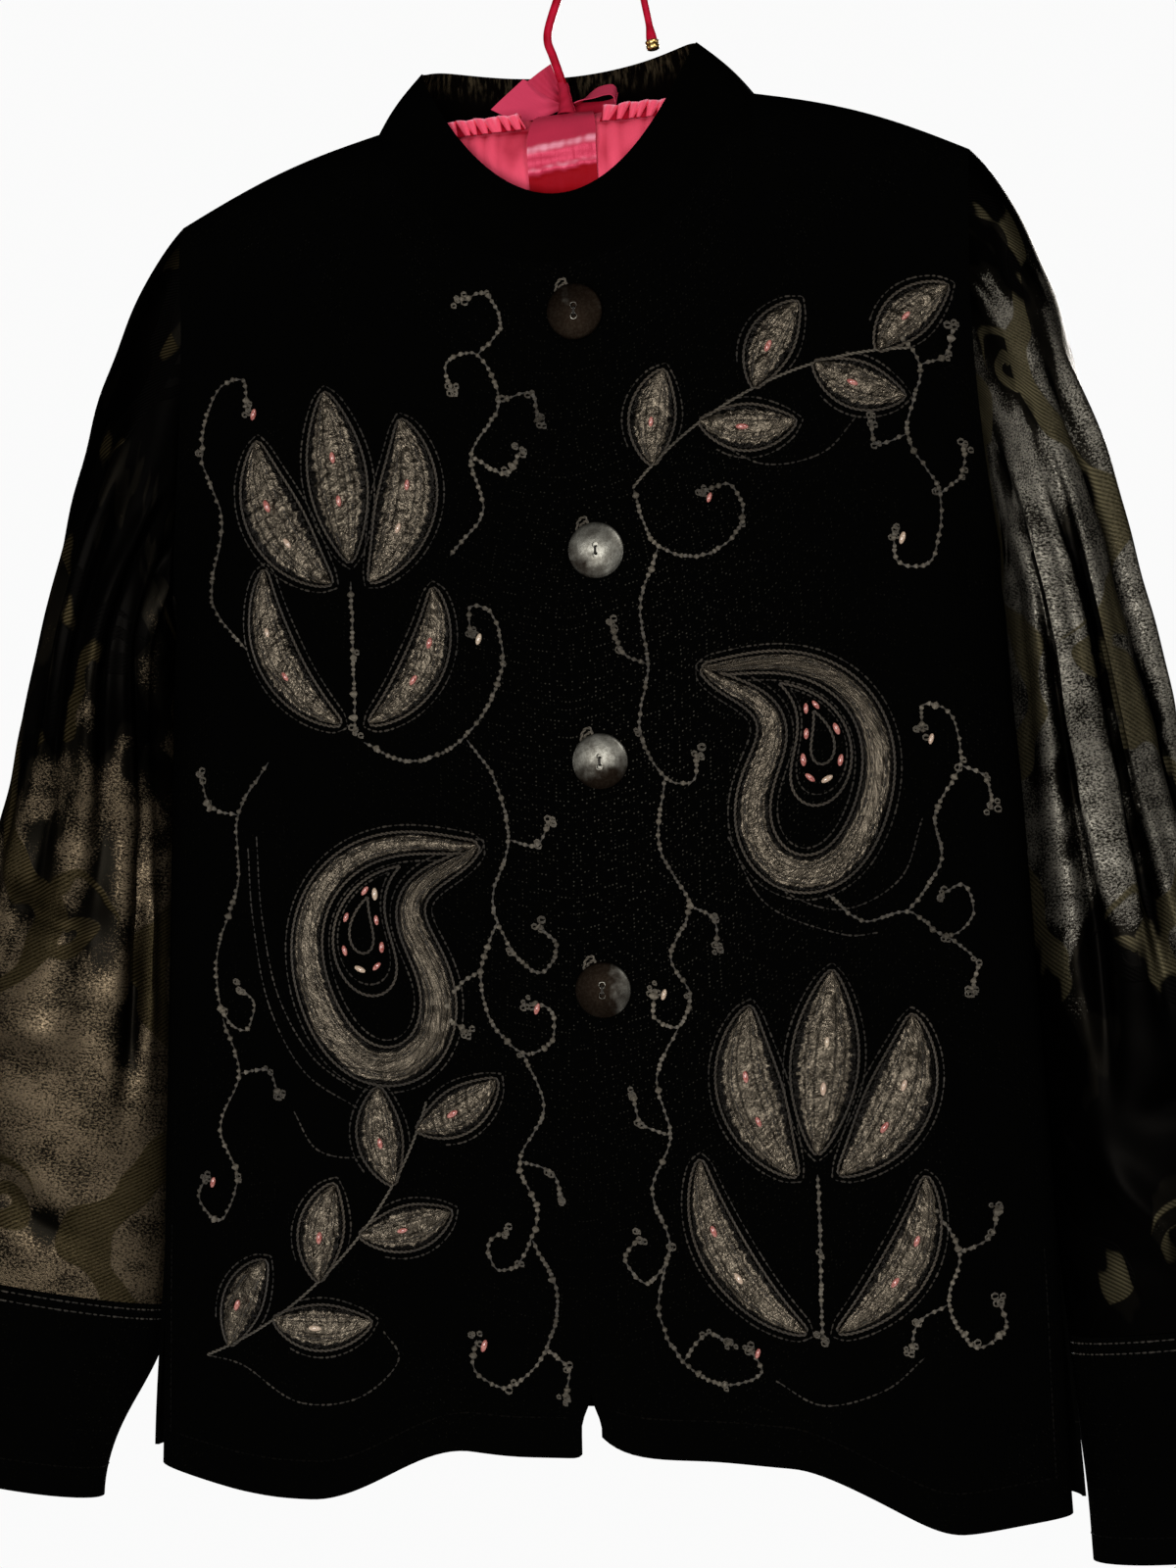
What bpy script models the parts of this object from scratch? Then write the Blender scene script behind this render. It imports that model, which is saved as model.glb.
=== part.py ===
# Embroidered jacket hanging on a padded satin hanger.
# Metres; x to the viewer's right, y away from the viewer, z up from the point where the hook hangs.
import math

import bpy
import numpy as np
from mathutils import Vector
from mathutils.bvhtree import BVHTree

# Cloth and seams
CLOTH = 0.002
SEAM = 0.0003
HANG_X = 0.0195

# Neck, shoulders and armholes, half widths from the centre line
NECK_HALF = 0.097
NECK_Z = -0.0755
SHOULDER_HALF = 0.204
SHOULDER_Z = -0.1135
SHOULDER_ROUND = 0.030
SHOULDER_CROWN = 0.0045
NECK_DROP = {"front": 0.0815, "back": 0.0105}
NECK_CURVE = 1.5
UNDERARM_HALF = 0.216
UNDERARM_Z = -0.325
ARMHOLE_HOLLOW = 0.006
ARMHOLE_FULLNESS = 0.035
FULLNESS_RISE = 0.13

# Hem, side vents and front edges
HEM_HALF = 0.238
HEM_LEVEL = {"front": -0.7545, "back": -0.752}
HEM_DIP = {"front": 0.0300, "back": 0.026}
DIP_START = {-1: 0.058, 1: 0.096}
DIP_RUN = 0.085
CORNER_RISE = 0.004
CORNER_START, CORNER_RUN = 0.180, 0.058
NOTCH_RISE = 0.020
NOTCH_RUN = 0.007
VENT_Z = -0.635
VENT_RUN = 0.140
VENT_SET = {"front": -0.003, "back": 0.004}
VENT_LIFT = {"front": 0.006, "back": 0.0}
EDGE_PART = 0.005
EDGE_PART_Z = -0.700
EDGE_PART_RUN = 0.050

# How far each panel stands off the middle plane at the shoulder, chest and hem
PANEL_DEPTH = {"front": (0.030, 0.046, 0.050), "back": (0.030, 0.040, 0.046)}
CHEST_FALL = 0.14
SIDE_POWER = 2.2
SIDE_TURN = 0.3

# The right side hangs higher at the shoulder and lower at the hem than the left side
TOP_LEAN = 0.042
HEM_LEAN = -0.050
LEAN_TOP_Z = -0.100
LEAN_HEM_Z = -0.780

# Largest folds of the panels: x at the hem, x at the top, z of the top, half width, height
FOLD_COLUMNS = ("hem_x", "top_x", "top_z", "width", "height")
PANEL_FOLDS = {
    "front": (
        (-0.165, -0.140, -0.40, 0.028, 0.010),
        (-0.095, -0.085, -0.46, 0.024, -0.007),
        (-0.040, -0.050, -0.50, 0.020, 0.004),
        (0.060, 0.050, -0.48, 0.024, -0.005),
        (0.120, 0.105, -0.42, 0.026, 0.006),
        (0.180, 0.165, -0.38, 0.022, 0.010),
    ),
    "back": (
        (-0.150, -0.120, -0.36, 0.030, 0.010),
        (-0.055, -0.070, -0.30, 0.028, -0.008),
        (0.040, 0.030, -0.34, 0.030, 0.007),
        (0.125, 0.105, -0.32, 0.028, -0.007),
        (0.185, 0.160, -0.40, 0.022, 0.009),
    ),
}
FOLD_RAMP = 0.22

# Sleeves and cuffs
SLEEVE_TOP_Z = -0.345
CUFF_SEAM_Z = -0.686
CUFF_HEM_Z = -0.796
SLEEVE_OUTER_X = {-1: 0.2915, 1: 0.2830}
SLEEVE_OUTER_SLOPE = {-1: 0.314, 1: 0.278}
SLEEVE_CLEAR = 0.0010
SLEEVE_TUCK = 0.0020
SLEEVE_BACK = 0.013
SLEEVE_SETTLE = 0.10
SLEEVE_DEPTH = ((-0.345, 0.046), (-0.500, 0.041), (-0.686, 0.031), (-0.800, 0.027))
CUFF_SWING = {-1: 0.034, 1: 0.003}
CUFF_TILT = 0.15
CAP_RUN = (0.072, -0.070)
CAP_PULL = 0.78
# Sleeve folds: angle from the outer side through the front, half width, share of the radius, z of the low end
SLEEVE_FOLD_COLUMNS = ("angle", "width", "depth", "low_z")
SLEEVE_FOLDS = (
    (34, 11, 0.11, -0.62),
    (72, 12, 0.15, -0.56),
    (112, 12, 0.13, -0.60),
    (150, 10, 0.08, -0.52),
    (214, 12, 0.11, -0.58),
    (262, 13, 0.14, -0.64),
    (314, 12, 0.12, -0.55),
)
FOLD_TOP_Z = -0.1335
FOLD_TOP_RUN, FOLD_LOW_RUN = 0.06, 0.14
CAP_BULGE = 0.5
RING_STEP = 0.01

# Stand collar: its upper edge
COLLAR_HALF = 0.0715
COLLAR_SHIFT = -0.0035
COLLAR_Z = -0.042
COLLAR_DROP = {"front": 0.080, "back": 0.009}
COLLAR_DEPTH = {"front": 0.038, "back": 0.034}
COLLAR_CURVE = 1.7
COLLAR_WALL = 0.0020
COLLAR_SWELL = 0.002
COLLAR_SEAM = 0.0007

# Buttons: x and z of each, and the turned profile
BUTTON_PLACES = ((0.008, -0.183), (0.015, -0.302), (0.014, -0.407), (0.012, -0.521))
BUTTON_RADIUS = 0.014
BUTTON_EDGE = 0.0024
BUTTON_CROWN = 0.0046
BUTTON_RIM = 0.0010
BUTTON_STAND = 0.0014
SHANK_RADIUS = 0.0022
HOLE_RADIUS = 0.0013
HOLE_PITCH = 0.0050
HOLE_DEPTH = 0.0026
# Shares of the button's radius and crown at the dome, and of its radius at the back
BUTTON_DOME = ((0.55, 0.88), (0.22, 1.0))
BUTTON_BACK = 0.80

# Appliqué: satin patches on the fronts
PATCH_LIFT = 0.0009
PATCH_EDGE = 0.0008
PATCH_CROWN = 0.0007
PATCH_END = 0.0006
# Leafy sprays: root, heading and bend of the stem in degrees, its length, its leaves and their angle
SPRAY_COLUMNS = ("x", "z", "heading", "bend", "length", "leaves", "leaf_length", "half_width", "leaf_angle")
SPRAYS = {
    "right": (-0.204, -0.708, 22, 50, 0.186, 6, 0.050, 0.0105, 52),
    "left": (0.034, -0.272, 50, -50, 0.158, 5, 0.047, 0.0105, 52),
}
LEAF_BEND = 30
# Flowers: root, heading, petals to each side of the middle one, spread in degrees, length, half width
FLOWER_COLUMNS = ("x", "z", "heading", "each_side", "spread", "length", "half_width")
FLOWERS = {
    "right": (-0.112, -0.302, 97, 1, 50, 0.086, 0.0145),
    "left": (0.116, -0.604, 84, 1, 50, 0.090, 0.0155),
}
PETAL_CURL = -1.20
PETAL_STEP = 0.0105
# Long blades at the flowers' stems: root, heading and bend in degrees, length, half width
BLADE_COLUMNS = ("x", "z", "heading", "bend", "length", "half_width")
BLADES = {
    "right_1": (-0.120, -0.384, 152, -72, 0.094, 0.0105),
    "right_2": (-0.104, -0.384, 26, 72, 0.080, 0.0100),
    "left_1": (0.108, -0.692, 154, -66, 0.104, 0.0110),
    "left_2": (0.124, -0.692, 26, 66, 0.092, 0.0110),
}
LEAF_STEPS = 7
LEAF_SWELL = 0.8
LEAF_ACROSS, PETAL_ACROSS, DROP_ACROSS = 2, 4, 3
# Teardrop borders: x and z of the middle, heading of the tip, bend of the tip, length, breadth, half width
DROP_COLUMNS = ("x", "z", "heading", "bend", "length", "breadth", "half_width")
DROPS = {
    "right": (-0.112, -0.486, 104, -72, 0.148, 0.086, 0.0088),
    "left": (0.124, -0.398, 78, 70, 0.138, 0.080, 0.0082),
}
DROP_STEPS = 30
DROP_SHAPE = 1.3
DROP_SWELL = 0.7
DROP_OPEN = 0.03

# Padded hanger
PAD_HALF = 0.188
PAD_TOP_Z = -0.0756
PAD_KNEE_X = 0.0968
PAD_KNEE_SOFT = 0.020
PAD_RISE = 0.026
PAD_DEPTH = 0.020
PAD_END = 0.022
PAD_BLUNT = 0.98
PAD_STEPS, PAD_END_STEPS = 10, 4
RIBBON_HALF = 0.0172
RIBBON_WALL = 0.0008
RUFFLE_START, RUFFLE_END = 0.0190, 0.0790
RUFFLE_HEIGHT = 0.0080
RUFFLE_WALL = 0.0008
RUFFLE_WAVES = 11
RUFFLE_SWING = 0.0024
RUFFLE_TURN = 45.0
WIRE_RADIUS = 0.0030
HOOK_ARC_Z = -0.0200
HOOK_CLEAR = 0.0006
HOOK_STEM = ((0.0, -0.0725), (-0.0012, -0.0620), (-0.0060, -0.0460), (-0.0090, -0.0340))
HOOK_TIP = ((0.0437, -0.0310), (0.0450, -0.0400))
TIP_RADIUS = 0.0040
TIP_LENGTH = 0.0050
# Shares of the tip's radius and length
TIP_PROFILE = ((0.75, 0.0), (1.0, 0.2), (1.0, 0.7), (0.5, 1.0))
# Bow sections: x, half height, half thickness, z of the middle
BOW_COLUMNS = ("x", "half_height", "half_thick", "z")
BOW = (
    (-0.0350, 0.0060, 0.0012, -0.0640),
    (-0.0280, 0.0100, 0.0020, -0.0630),
    (-0.0160, 0.0095, 0.0026, -0.0630),
    (-0.0060, 0.0045, 0.0024, -0.0655),
    (0.0000, 0.0036, 0.0026, -0.0665),
    (0.0060, 0.0040, 0.0024, -0.0655),
    (0.0150, 0.0058, 0.0026, -0.0630),
    (0.0250, 0.0046, 0.0014, -0.0600),
)
BOW_Y = 0.0062

# Mesh fineness
NECK_STEPS, SHOULDER_STEPS = 8, 6
EDGE_COLUMN = 0.035
ARMHOLE_STEPS, SIDE_STEPS = 9, 10
SLEEVE_SIDES = 34
CAP_STEPS, SLEEVE_STEPS, CUFF_STEPS = 6, 7, 2
COLLAR_ROWS = 3
PAD_SIDES, RIBBON_SIDES, BOW_SIDES = 16, 24, 12
BUTTON_SIDES, HOLE_SIDES = 20, 10
WIRE_SIDES, TIP_SIDES = 8, 14
ARC_STEPS = 9
SHARP_ANGLE = 40.0
TINY = 1e-6
SLOPE_STEP = 1e-4

MATERIALS = {
    "cloth": ((0.006, 0.006, 0.006), 0.85, 0.0),
    "jacquard": ((0.050, 0.045, 0.038), 0.42, 0.0),
    "satin": ((0.085, 0.075, 0.062), 0.45, 0.0),
    "button": ((0.110, 0.100, 0.088), 0.35, 0.6),
    "pink": ((0.640, 0.045, 0.110), 0.35, 0.0),
    "tube": ((0.420, 0.004, 0.020), 0.35, 0.0),
    "gold": ((0.700, 0.480, 0.150), 0.30, 1.0),
}


# Soft step from 0 to 1.
def smooth(t):
    t = np.clip(t, 0.0, 1.0)
    return t * t * (3.0 - 2.0 * t)


def unit(vectors):
    return vectors / np.maximum(np.linalg.norm(vectors, axis=-1, keepdims=True), 1e-12)


# The garment's sides ride up or down in proportion to x.
def hang(points):
    share = (LEAN_TOP_Z - points[..., 2]) / (LEAN_TOP_Z - LEAN_HEM_Z)
    leaned = points.copy()
    leaned[..., 2] += points[..., 0] * (TOP_LEAN + (HEM_LEAN - TOP_LEAN) * share)
    return leaned


# The shoulder seam falls from the neck to the shoulder point with a slight crown.
def shoulder_line(x):
    out = (np.abs(x) - NECK_HALF) / (SHOULDER_HALF - NECK_HALF)
    return NECK_Z + (SHOULDER_Z - NECK_Z) * out + SHOULDER_CROWN * np.sin(math.pi * np.clip(out, 0.0, 1.0))


def vent(z):
    return smooth((VENT_Z - z) / VENT_RUN)


def side_x(z):
    return UNDERARM_HALF + (HEM_HALF - UNDERARM_HALF) * (UNDERARM_Z - z) / (UNDERARM_Z - HEM_LEVEL["front"])


# Outer edge of a panel: the armhole above the underarm, the side seam below it.
def panel_x(z, panel):
    rise = np.clip((z - UNDERARM_Z) / (SHOULDER_Z - UNDERARM_Z), 0.0, 1.0)
    armhole = UNDERARM_HALF + (SHOULDER_HALF - UNDERARM_HALF) * rise - ARMHOLE_HOLLOW * np.sin(math.pi * rise)
    return np.where(z > UNDERARM_Z, armhole, side_x(z) + VENT_SET[panel] * vent(z))


def front_edge_x(z):
    return SEAM + EDGE_PART * smooth((EDGE_PART_Z - z) / EDGE_PART_RUN)


def hem_z(x, side, panel):
    level = HEM_LEVEL[panel] - HEM_DIP[panel] * smooth((x - DIP_START[side]) / DIP_RUN)
    level = level + CORNER_RISE * smooth((x - CORNER_START) / CORNER_RUN)
    if panel == "front":
        level = level + NOTCH_RISE * (1.0 - smooth(x / NOTCH_RUN))
    return level


def neck_z(angle, panel):
    return NECK_Z - NECK_DROP[panel] * np.abs(np.cos(angle)) ** NECK_CURVE


# Height of the large folds: bell-shaped ridges and troughs that grow towards the hem.
def panel_folds(x, z, panel):
    total = np.zeros_like(x)
    for row in PANEL_FOLDS[panel]:
        fold = dict(zip(FOLD_COLUMNS, row))
        run = np.clip((fold["top_z"] - z) / (fold["top_z"] - HEM_LEVEL[panel]), 0.0, 1.0)
        middle = fold["top_x"] + (fold["hem_x"] - fold["top_x"]) * run
        bell = np.exp(-((x - middle) / fold["width"]) ** 2)
        total += fold["height"] * bell * smooth((fold["top_z"] - z) / FOLD_RAMP)
    return total


# Distance of a panel's outer face from the middle plane, as a y value.
def panel_y(x, z, panel):
    fall = shoulder_line(x) - z
    over = np.sqrt(1.0 - (1.0 - np.clip(fall / SHOULDER_ROUND, 0.0, 1.0)) ** 2)
    lift = np.clip((z - UNDERARM_Z) / FULLNESS_RISE, 0.0, 1.0)
    half = panel_x(z, panel) + ARMHOLE_FULLNESS * np.sin(lift * math.pi / 2)
    cross = np.sqrt(np.clip(1.0 - (np.abs(x) / half) ** SIDE_POWER, 0.0, 1.0))
    shoulder, chest, hem = PANEL_DEPTH[panel]
    depth = shoulder + (chest - shoulder) * smooth(fall / CHEST_FALL)
    depth = depth + (hem - chest) * np.clip((UNDERARM_Z - z) / (UNDERARM_Z - HEM_LEVEL[panel]), 0.0, 1.0)
    stand = SEAM / 2 + (depth + panel_folds(x, z, panel)) * over * cross + VENT_LIFT[panel] * vent(z)
    return stand if panel == "back" else -stand


# Angles of the neckline's points in a quarter turn, with one close to the edge.
def neck_angles():
    return np.concatenate(([0.0, EDGE_COLUMN], np.linspace(0.0, math.pi / 2, NECK_STEPS)[1:]))


# Half of a panel as a grid of rows, neck and shoulder down to hem, by columns, centre out to the side.
def half_panel(side, panel):
    angles = neck_angles()
    along = np.linspace(0.0, 1.0, SHOULDER_STEPS + 1)[1:]
    shoulder_x = NECK_HALF + (SHOULDER_HALF - NECK_HALF) * along
    top_x = np.concatenate((NECK_HALF * np.sin(angles), shoulder_x))
    top_z = np.concatenate((neck_z(angles, panel), shoulder_line(shoulder_x)))
    low_share = np.sin(np.linspace(0.0, math.pi / 2, len(top_x) - 1))
    low_share = np.concatenate(([0.0, EDGE_COLUMN], low_share[1:]))
    low_z = hem_z(low_share * panel_x(np.array(HEM_LEVEL[panel]), panel), side, panel)
    underarm_row = (SHOULDER_Z - UNDERARM_Z) / (SHOULDER_Z - low_z[-1])
    upper = underarm_row * np.linspace(0.0, 1.0, ARMHOLE_STEPS + 1) ** 2
    lower = underarm_row + (1.0 - underarm_row) * np.linspace(0.0, 1.0, SIDE_STEPS + 1)[1:]
    rows = np.concatenate((upper, lower))[:, None]
    share = top_x / SHOULDER_HALF
    share = share + (low_share - share) * smooth(rows / underarm_row)
    z = top_z + (low_z - top_z) * rows
    edge = front_edge_x(z) if panel == "front" else np.zeros_like(z)
    x = side * (edge + share * (panel_x(z, panel) - edge))
    return np.stack((x, panel_y(x, z, panel), z), axis=-1)


# Unit normals of a grid, turned to the side that the given directions point to.
def grid_normals(grid, outward, closed=False):
    if closed:
        across = np.roll(grid, -1, axis=1) - np.roll(grid, 1, axis=1)
    else:
        across = np.gradient(grid, axis=1)
    normals = unit(np.cross(across, np.gradient(grid, axis=0)))
    turn = np.sign(np.sum(normals * outward, axis=-1, keepdims=True))
    return normals * np.where(turn == 0.0, 1.0, turn)


# Normals of a body panel; along the side and shoulder seams they lie in the middle plane.
def panel_normals(grid, panel):
    outward = np.zeros_like(grid)
    outward[..., 1] = 1.0 if panel == "back" else -1.0
    outward[..., 0] = SIDE_TURN * np.sign(grid[..., 0])
    normals = grid_normals(grid, outward)
    on_seam = np.abs(grid[..., 1]) < SEAM
    on_edge = np.abs(grid[..., 0]) >= panel_x(grid[..., 2], panel) - TINY
    on_side = on_edge & (grid[..., 2] <= UNDERARM_Z + TINY)
    normals[on_seam | on_side, 1] = 0.0
    sideways = np.zeros(3)
    sideways[0] = 1.0
    normals[on_side] = sideways * np.sign(grid[on_side][:, :1])
    top = grid[:1]
    along = np.abs(top[..., 0]) >= NECK_HALF - TINY
    reach, step = np.abs(top[..., 0]), SLOPE_STEP
    upward = np.zeros_like(top)
    upward[..., 0] = np.sign(top[..., 0]) * (shoulder_line(reach) - shoulder_line(reach + step)) / step
    upward[..., 2] = 1.0
    normals[:1][along] = upward[along]
    return unit(normals)


def make_object(name, vertices, faces, material):
    mesh = bpy.data.meshes.new(name)
    mesh.from_pydata([tuple(v) for v in vertices], [], [tuple(int(i) for i in f) for f in faces])
    mesh.update()
    mesh.shade_smooth()
    mesh.set_sharp_from_angle(angle=math.radians(SHARP_ANGLE))
    return add_object(name, mesh, material)


def add_object(name, data, material):
    obj = bpy.data.objects.new(name, data)
    bpy.context.scene.collection.objects.link(obj)
    obj.parent = bpy.data.objects["hang_point"]
    color, roughness, metallic = MATERIALS[material]
    finish = bpy.data.materials.new(name + "_" + material)
    finish.use_nodes = True
    shader = finish.node_tree.nodes["Principled BSDF"]
    shader.inputs["Base Color"].default_value = (*color, 1.0)
    shader.inputs["Roughness"].default_value = roughness
    shader.inputs["Metallic"].default_value = metallic
    data.materials.append(finish)
    return obj


# Quads between neighbouring rows and columns of an index grid.
def grid_faces(index, closed):
    nxt = np.roll(index, -1, axis=1)
    if not closed:
        index, nxt = index[:, :-1], nxt[:, :-1]
    return np.stack((index[:-1], nxt[:-1], nxt[1:], index[1:]), axis=-1).reshape(-1, 4)


# Closed wall between an outer grid and an inner grid of the same size.
def wall_mesh(outer, inner, closed=False):
    rows, columns = outer.shape[:2]
    count = rows * columns
    out_index = np.arange(count).reshape(rows, columns)
    in_index = out_index + count
    faces = [grid_faces(out_index, closed), grid_faces(in_index, closed)[:, ::-1]]
    rims = [np.stack((in_index[0], out_index[0])), np.stack((out_index[-1], in_index[-1]))]
    faces += [grid_faces(rim, closed) for rim in rims]
    if not closed:
        sides = [np.stack((out_index[:, 0], in_index[:, 0])), np.stack((in_index[:, -1], out_index[:, -1]))]
        faces += [grid_faces(side, False) for side in sides]
    vertices = np.concatenate((outer.reshape(-1, 3), inner.reshape(-1, 3)))
    return vertices, face_outward(vertices, np.concatenate(faces))


# All faces are turned round together if they enclose a negative volume.
def face_outward(vertices, faces):
    corner = vertices[faces]
    volume = np.sum(corner[:, 0] * np.cross(corner[:, 1], corner[:, 2]))
    volume += np.sum(corner[:, 0] * np.cross(corner[:, 2], corner[:, 3]))
    return faces if volume > 0 else faces[:, ::-1]


def make_wall(name, outer, inner, material, closed=False):
    return make_object(name, *wall_mesh(hang(outer), hang(inner), closed), material)


def make_fronts():
    panels = {}
    for name, side in (("front_right", -1), ("front_left", 1)):
        grid = half_panel(side, "front")
        panels[name] = make_wall(name, grid, grid - CLOTH * panel_normals(grid, "front"), "cloth")
    return panels


def make_back():
    left, right = half_panel(-1, "back"), half_panel(1, "back")
    grid = np.concatenate((left[:, :0:-1], right), axis=1)
    make_wall("back", grid, grid - CLOTH * panel_normals(grid, "back"), "cloth")


# Middle, half breadth and half depth of a sleeve ring at a level.
def sleeve_ring(z, side):
    swing = smooth((CUFF_SEAM_Z - z) / (CUFF_SEAM_Z - CUFF_HEM_Z))
    tuck = SLEEVE_TUCK * smooth((SLEEVE_TOP_Z - z) / SLEEVE_SETTLE)
    outer = SLEEVE_OUTER_X[side] + SLEEVE_OUTER_SLOPE[side] * (SLEEVE_TOP_Z - z)
    inner = side_x(z) + SLEEVE_CLEAR - tuck + VENT_SET["back"] * vent(z) + CUFF_SWING[side] * swing
    levels, depths = zip(*SLEEVE_DEPTH)
    depth = np.interp(-z, [-level for level in levels], depths)
    return (outer + inner) / 2, (outer - inner) / 2, depth


# Share of the radius taken off by the long folds of a sleeve.
def sleeve_folds(angles, z):
    total = np.zeros(np.broadcast(angles, z).shape)
    for row in SLEEVE_FOLDS:
        fold = dict(zip(SLEEVE_FOLD_COLUMNS, row))
        apart = (np.degrees(angles) - fold["angle"] + 180.0) % 360.0 - 180.0
        fade = smooth((FOLD_TOP_Z - z) / FOLD_TOP_RUN) * smooth((z - fold["low_z"]) / FOLD_LOW_RUN)
        total += fold["depth"] * np.exp(-(apart / fold["width"]) ** 2) * fade
    return total


# Rings of the sleeve below the armhole, at the given levels of their middles.
def sleeve_rings(levels, angles, side, folded):
    z = np.asarray(levels)[:, None]
    middle, breadth, depth = sleeve_ring(z, side)
    shrink = 1.0 - sleeve_folds(angles, z) if folded else 1.0
    off_x = breadth * np.cos(angles) * shrink
    y = SLEEVE_BACK * smooth((SLEEVE_TOP_Z - z) / SLEEVE_SETTLE) - depth * np.sin(angles) * shrink
    tilt = CUFF_TILT * smooth((SLEEVE_TOP_Z - z) / (SLEEVE_TOP_Z - CUFF_SEAM_Z))
    return np.stack((side * (middle + off_x), y + 0.0 * off_x, z + tilt * off_x), axis=-1)


# Points at even distances along a line of points.
def even_points(line, count):
    travel = np.concatenate(([0.0], np.cumsum(np.linalg.norm(np.diff(line, axis=0), axis=1))))
    places = np.linspace(0.0, travel[-1], count)
    return np.stack([np.interp(places, travel, line[:, axis]) for axis in range(3)], axis=-1)


# The armhole's loop, from the shoulder through the front to the underarm and up the back.
def armhole_loop(side):
    halves = []
    for panel in ("front", "back"):
        edge = half_panel(side, panel)[: ARMHOLE_STEPS + 1, -1]
        edge[[0, -1], 1] = 0.0
        halves.append(even_points(edge, SLEEVE_SIDES // 2 + 1))
    return np.concatenate((halves[0], halves[1][-2:0:-1]))


# A sleeve's outer grid: a cap that leaves the armhole and flows into the rings below.
def sleeve_grid(side):
    loop = armhole_loop(side)
    loop[:, 0] += side * SEAM
    angles = np.linspace(0.0, 2 * math.pi, SLEEVE_SIDES, endpoint=False)
    levels = np.linspace(SLEEVE_TOP_Z, CUFF_SEAM_Z + SEAM, SLEEVE_STEPS + 1)
    rings = sleeve_rings(levels, angles, side, True)
    first, below = sleeve_rings([SLEEVE_TOP_Z, SLEEVE_TOP_Z - RING_STEP], angles, side, False)
    reach = np.linalg.norm(first - loop, axis=1, keepdims=True)
    high = (1 + np.cos(angles)[:, None]) / 2
    leave = unit(np.array((side * CAP_RUN[0], 0.0, CAP_RUN[1])) * high + (1 - high) * (first - loop))
    leave[:, 1] -= CAP_BULGE * np.sin(angles) * np.sqrt(high[:, 0])
    arrive = unit(below - first)
    t = np.linspace(0.0, 1.0, CAP_STEPS + 1)[:-1, None, None]
    cap = (2 * t**3 - 3 * t**2 + 1) * loop + (t**3 - 2 * t**2 + t) * reach * CAP_PULL * unit(leave)
    cap = cap + (3 * t**2 - 2 * t**3) * first + (t**3 - t**2) * reach * arrive
    middle = np.stack((side * sleeve_ring(cap[..., 2], side)[0], 0 * cap[..., 1], cap[..., 2]), axis=-1)
    cap = cap - (cap - middle) * (sleeve_folds(angles, cap[..., 2]) * smooth(t[..., 0]))[..., None]
    return np.concatenate((cap, rings))


# Inner face of a sleeve: the outer grid moved in; at the armhole it stays on the sleeve's side of the seam.
def sleeve_inner(grid, side):
    middle = grid.mean(axis=1, keepdims=True)
    normals = grid_normals(grid, grid - middle, closed=True)
    normals[0, :, 0] = np.where(normals[0, :, 0] * side > 0.0, 0.0, normals[0, :, 0])
    normals[-1, :, 2] = 0.0
    inner = grid - CLOTH * unit(normals)
    limit = panel_x(inner[0, :, 2], "front") + SEAM
    inner[0, :, 0] = side * np.maximum(np.abs(inner[0, :, 0]), limit)
    return inner


# Each sleeve is a front and a back half, a seam's width apart along the outer and inner lines.
def make_sleeves():
    half = SLEEVE_SIDES // 2
    for name, side in (("right", -1), ("left", 1)):
        grid = sleeve_grid(side)
        walls = np.stack((grid, sleeve_inner(grid, side)))
        make_wall(f"sleeve_{name}_front", *walls[:, :, : half + 1], "jacquard")
        rear = np.concatenate((walls[:, :, half:], walls[:, :, :1]), axis=2)
        rear[:, :, [0, -1], 1] += SEAM
        make_wall(f"sleeve_{name}_back", *rear, "jacquard")
        angles = np.linspace(0.0, 2 * math.pi, grid.shape[1], endpoint=False)
        levels = np.linspace(CUFF_SEAM_Z, CUFF_HEM_Z, CUFF_STEPS + 1)
        cuff = sleeve_rings(levels, angles, side, False)
        normals = grid_normals(cuff, cuff - cuff.mean(axis=1, keepdims=True), closed=True)
        normals[0, :, 2] = 0.0
        make_wall("cuff_" + name, cuff, cuff - CLOTH * unit(normals), "cloth", closed=True)


# The neckline's points and normals, from the centre front round the back to the centre front again.
def neckline():
    quarters = []
    for side, panel in ((1, "front"), (1, "back"), (-1, "back"), (-1, "front")):
        grid = half_panel(side, panel)
        quarter = np.concatenate((grid[0], panel_normals(grid, panel)[0]), axis=-1)[: NECK_STEPS + 1]
        quarter[-1, 1] = 0.0
        quarters.append(quarter)
    first, second, third, fourth = quarters
    loop = np.concatenate((first, second[-2::-1], third[1:], fourth[-2::-1]))
    return loop[:, :3], loop[:, 3:]


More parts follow.
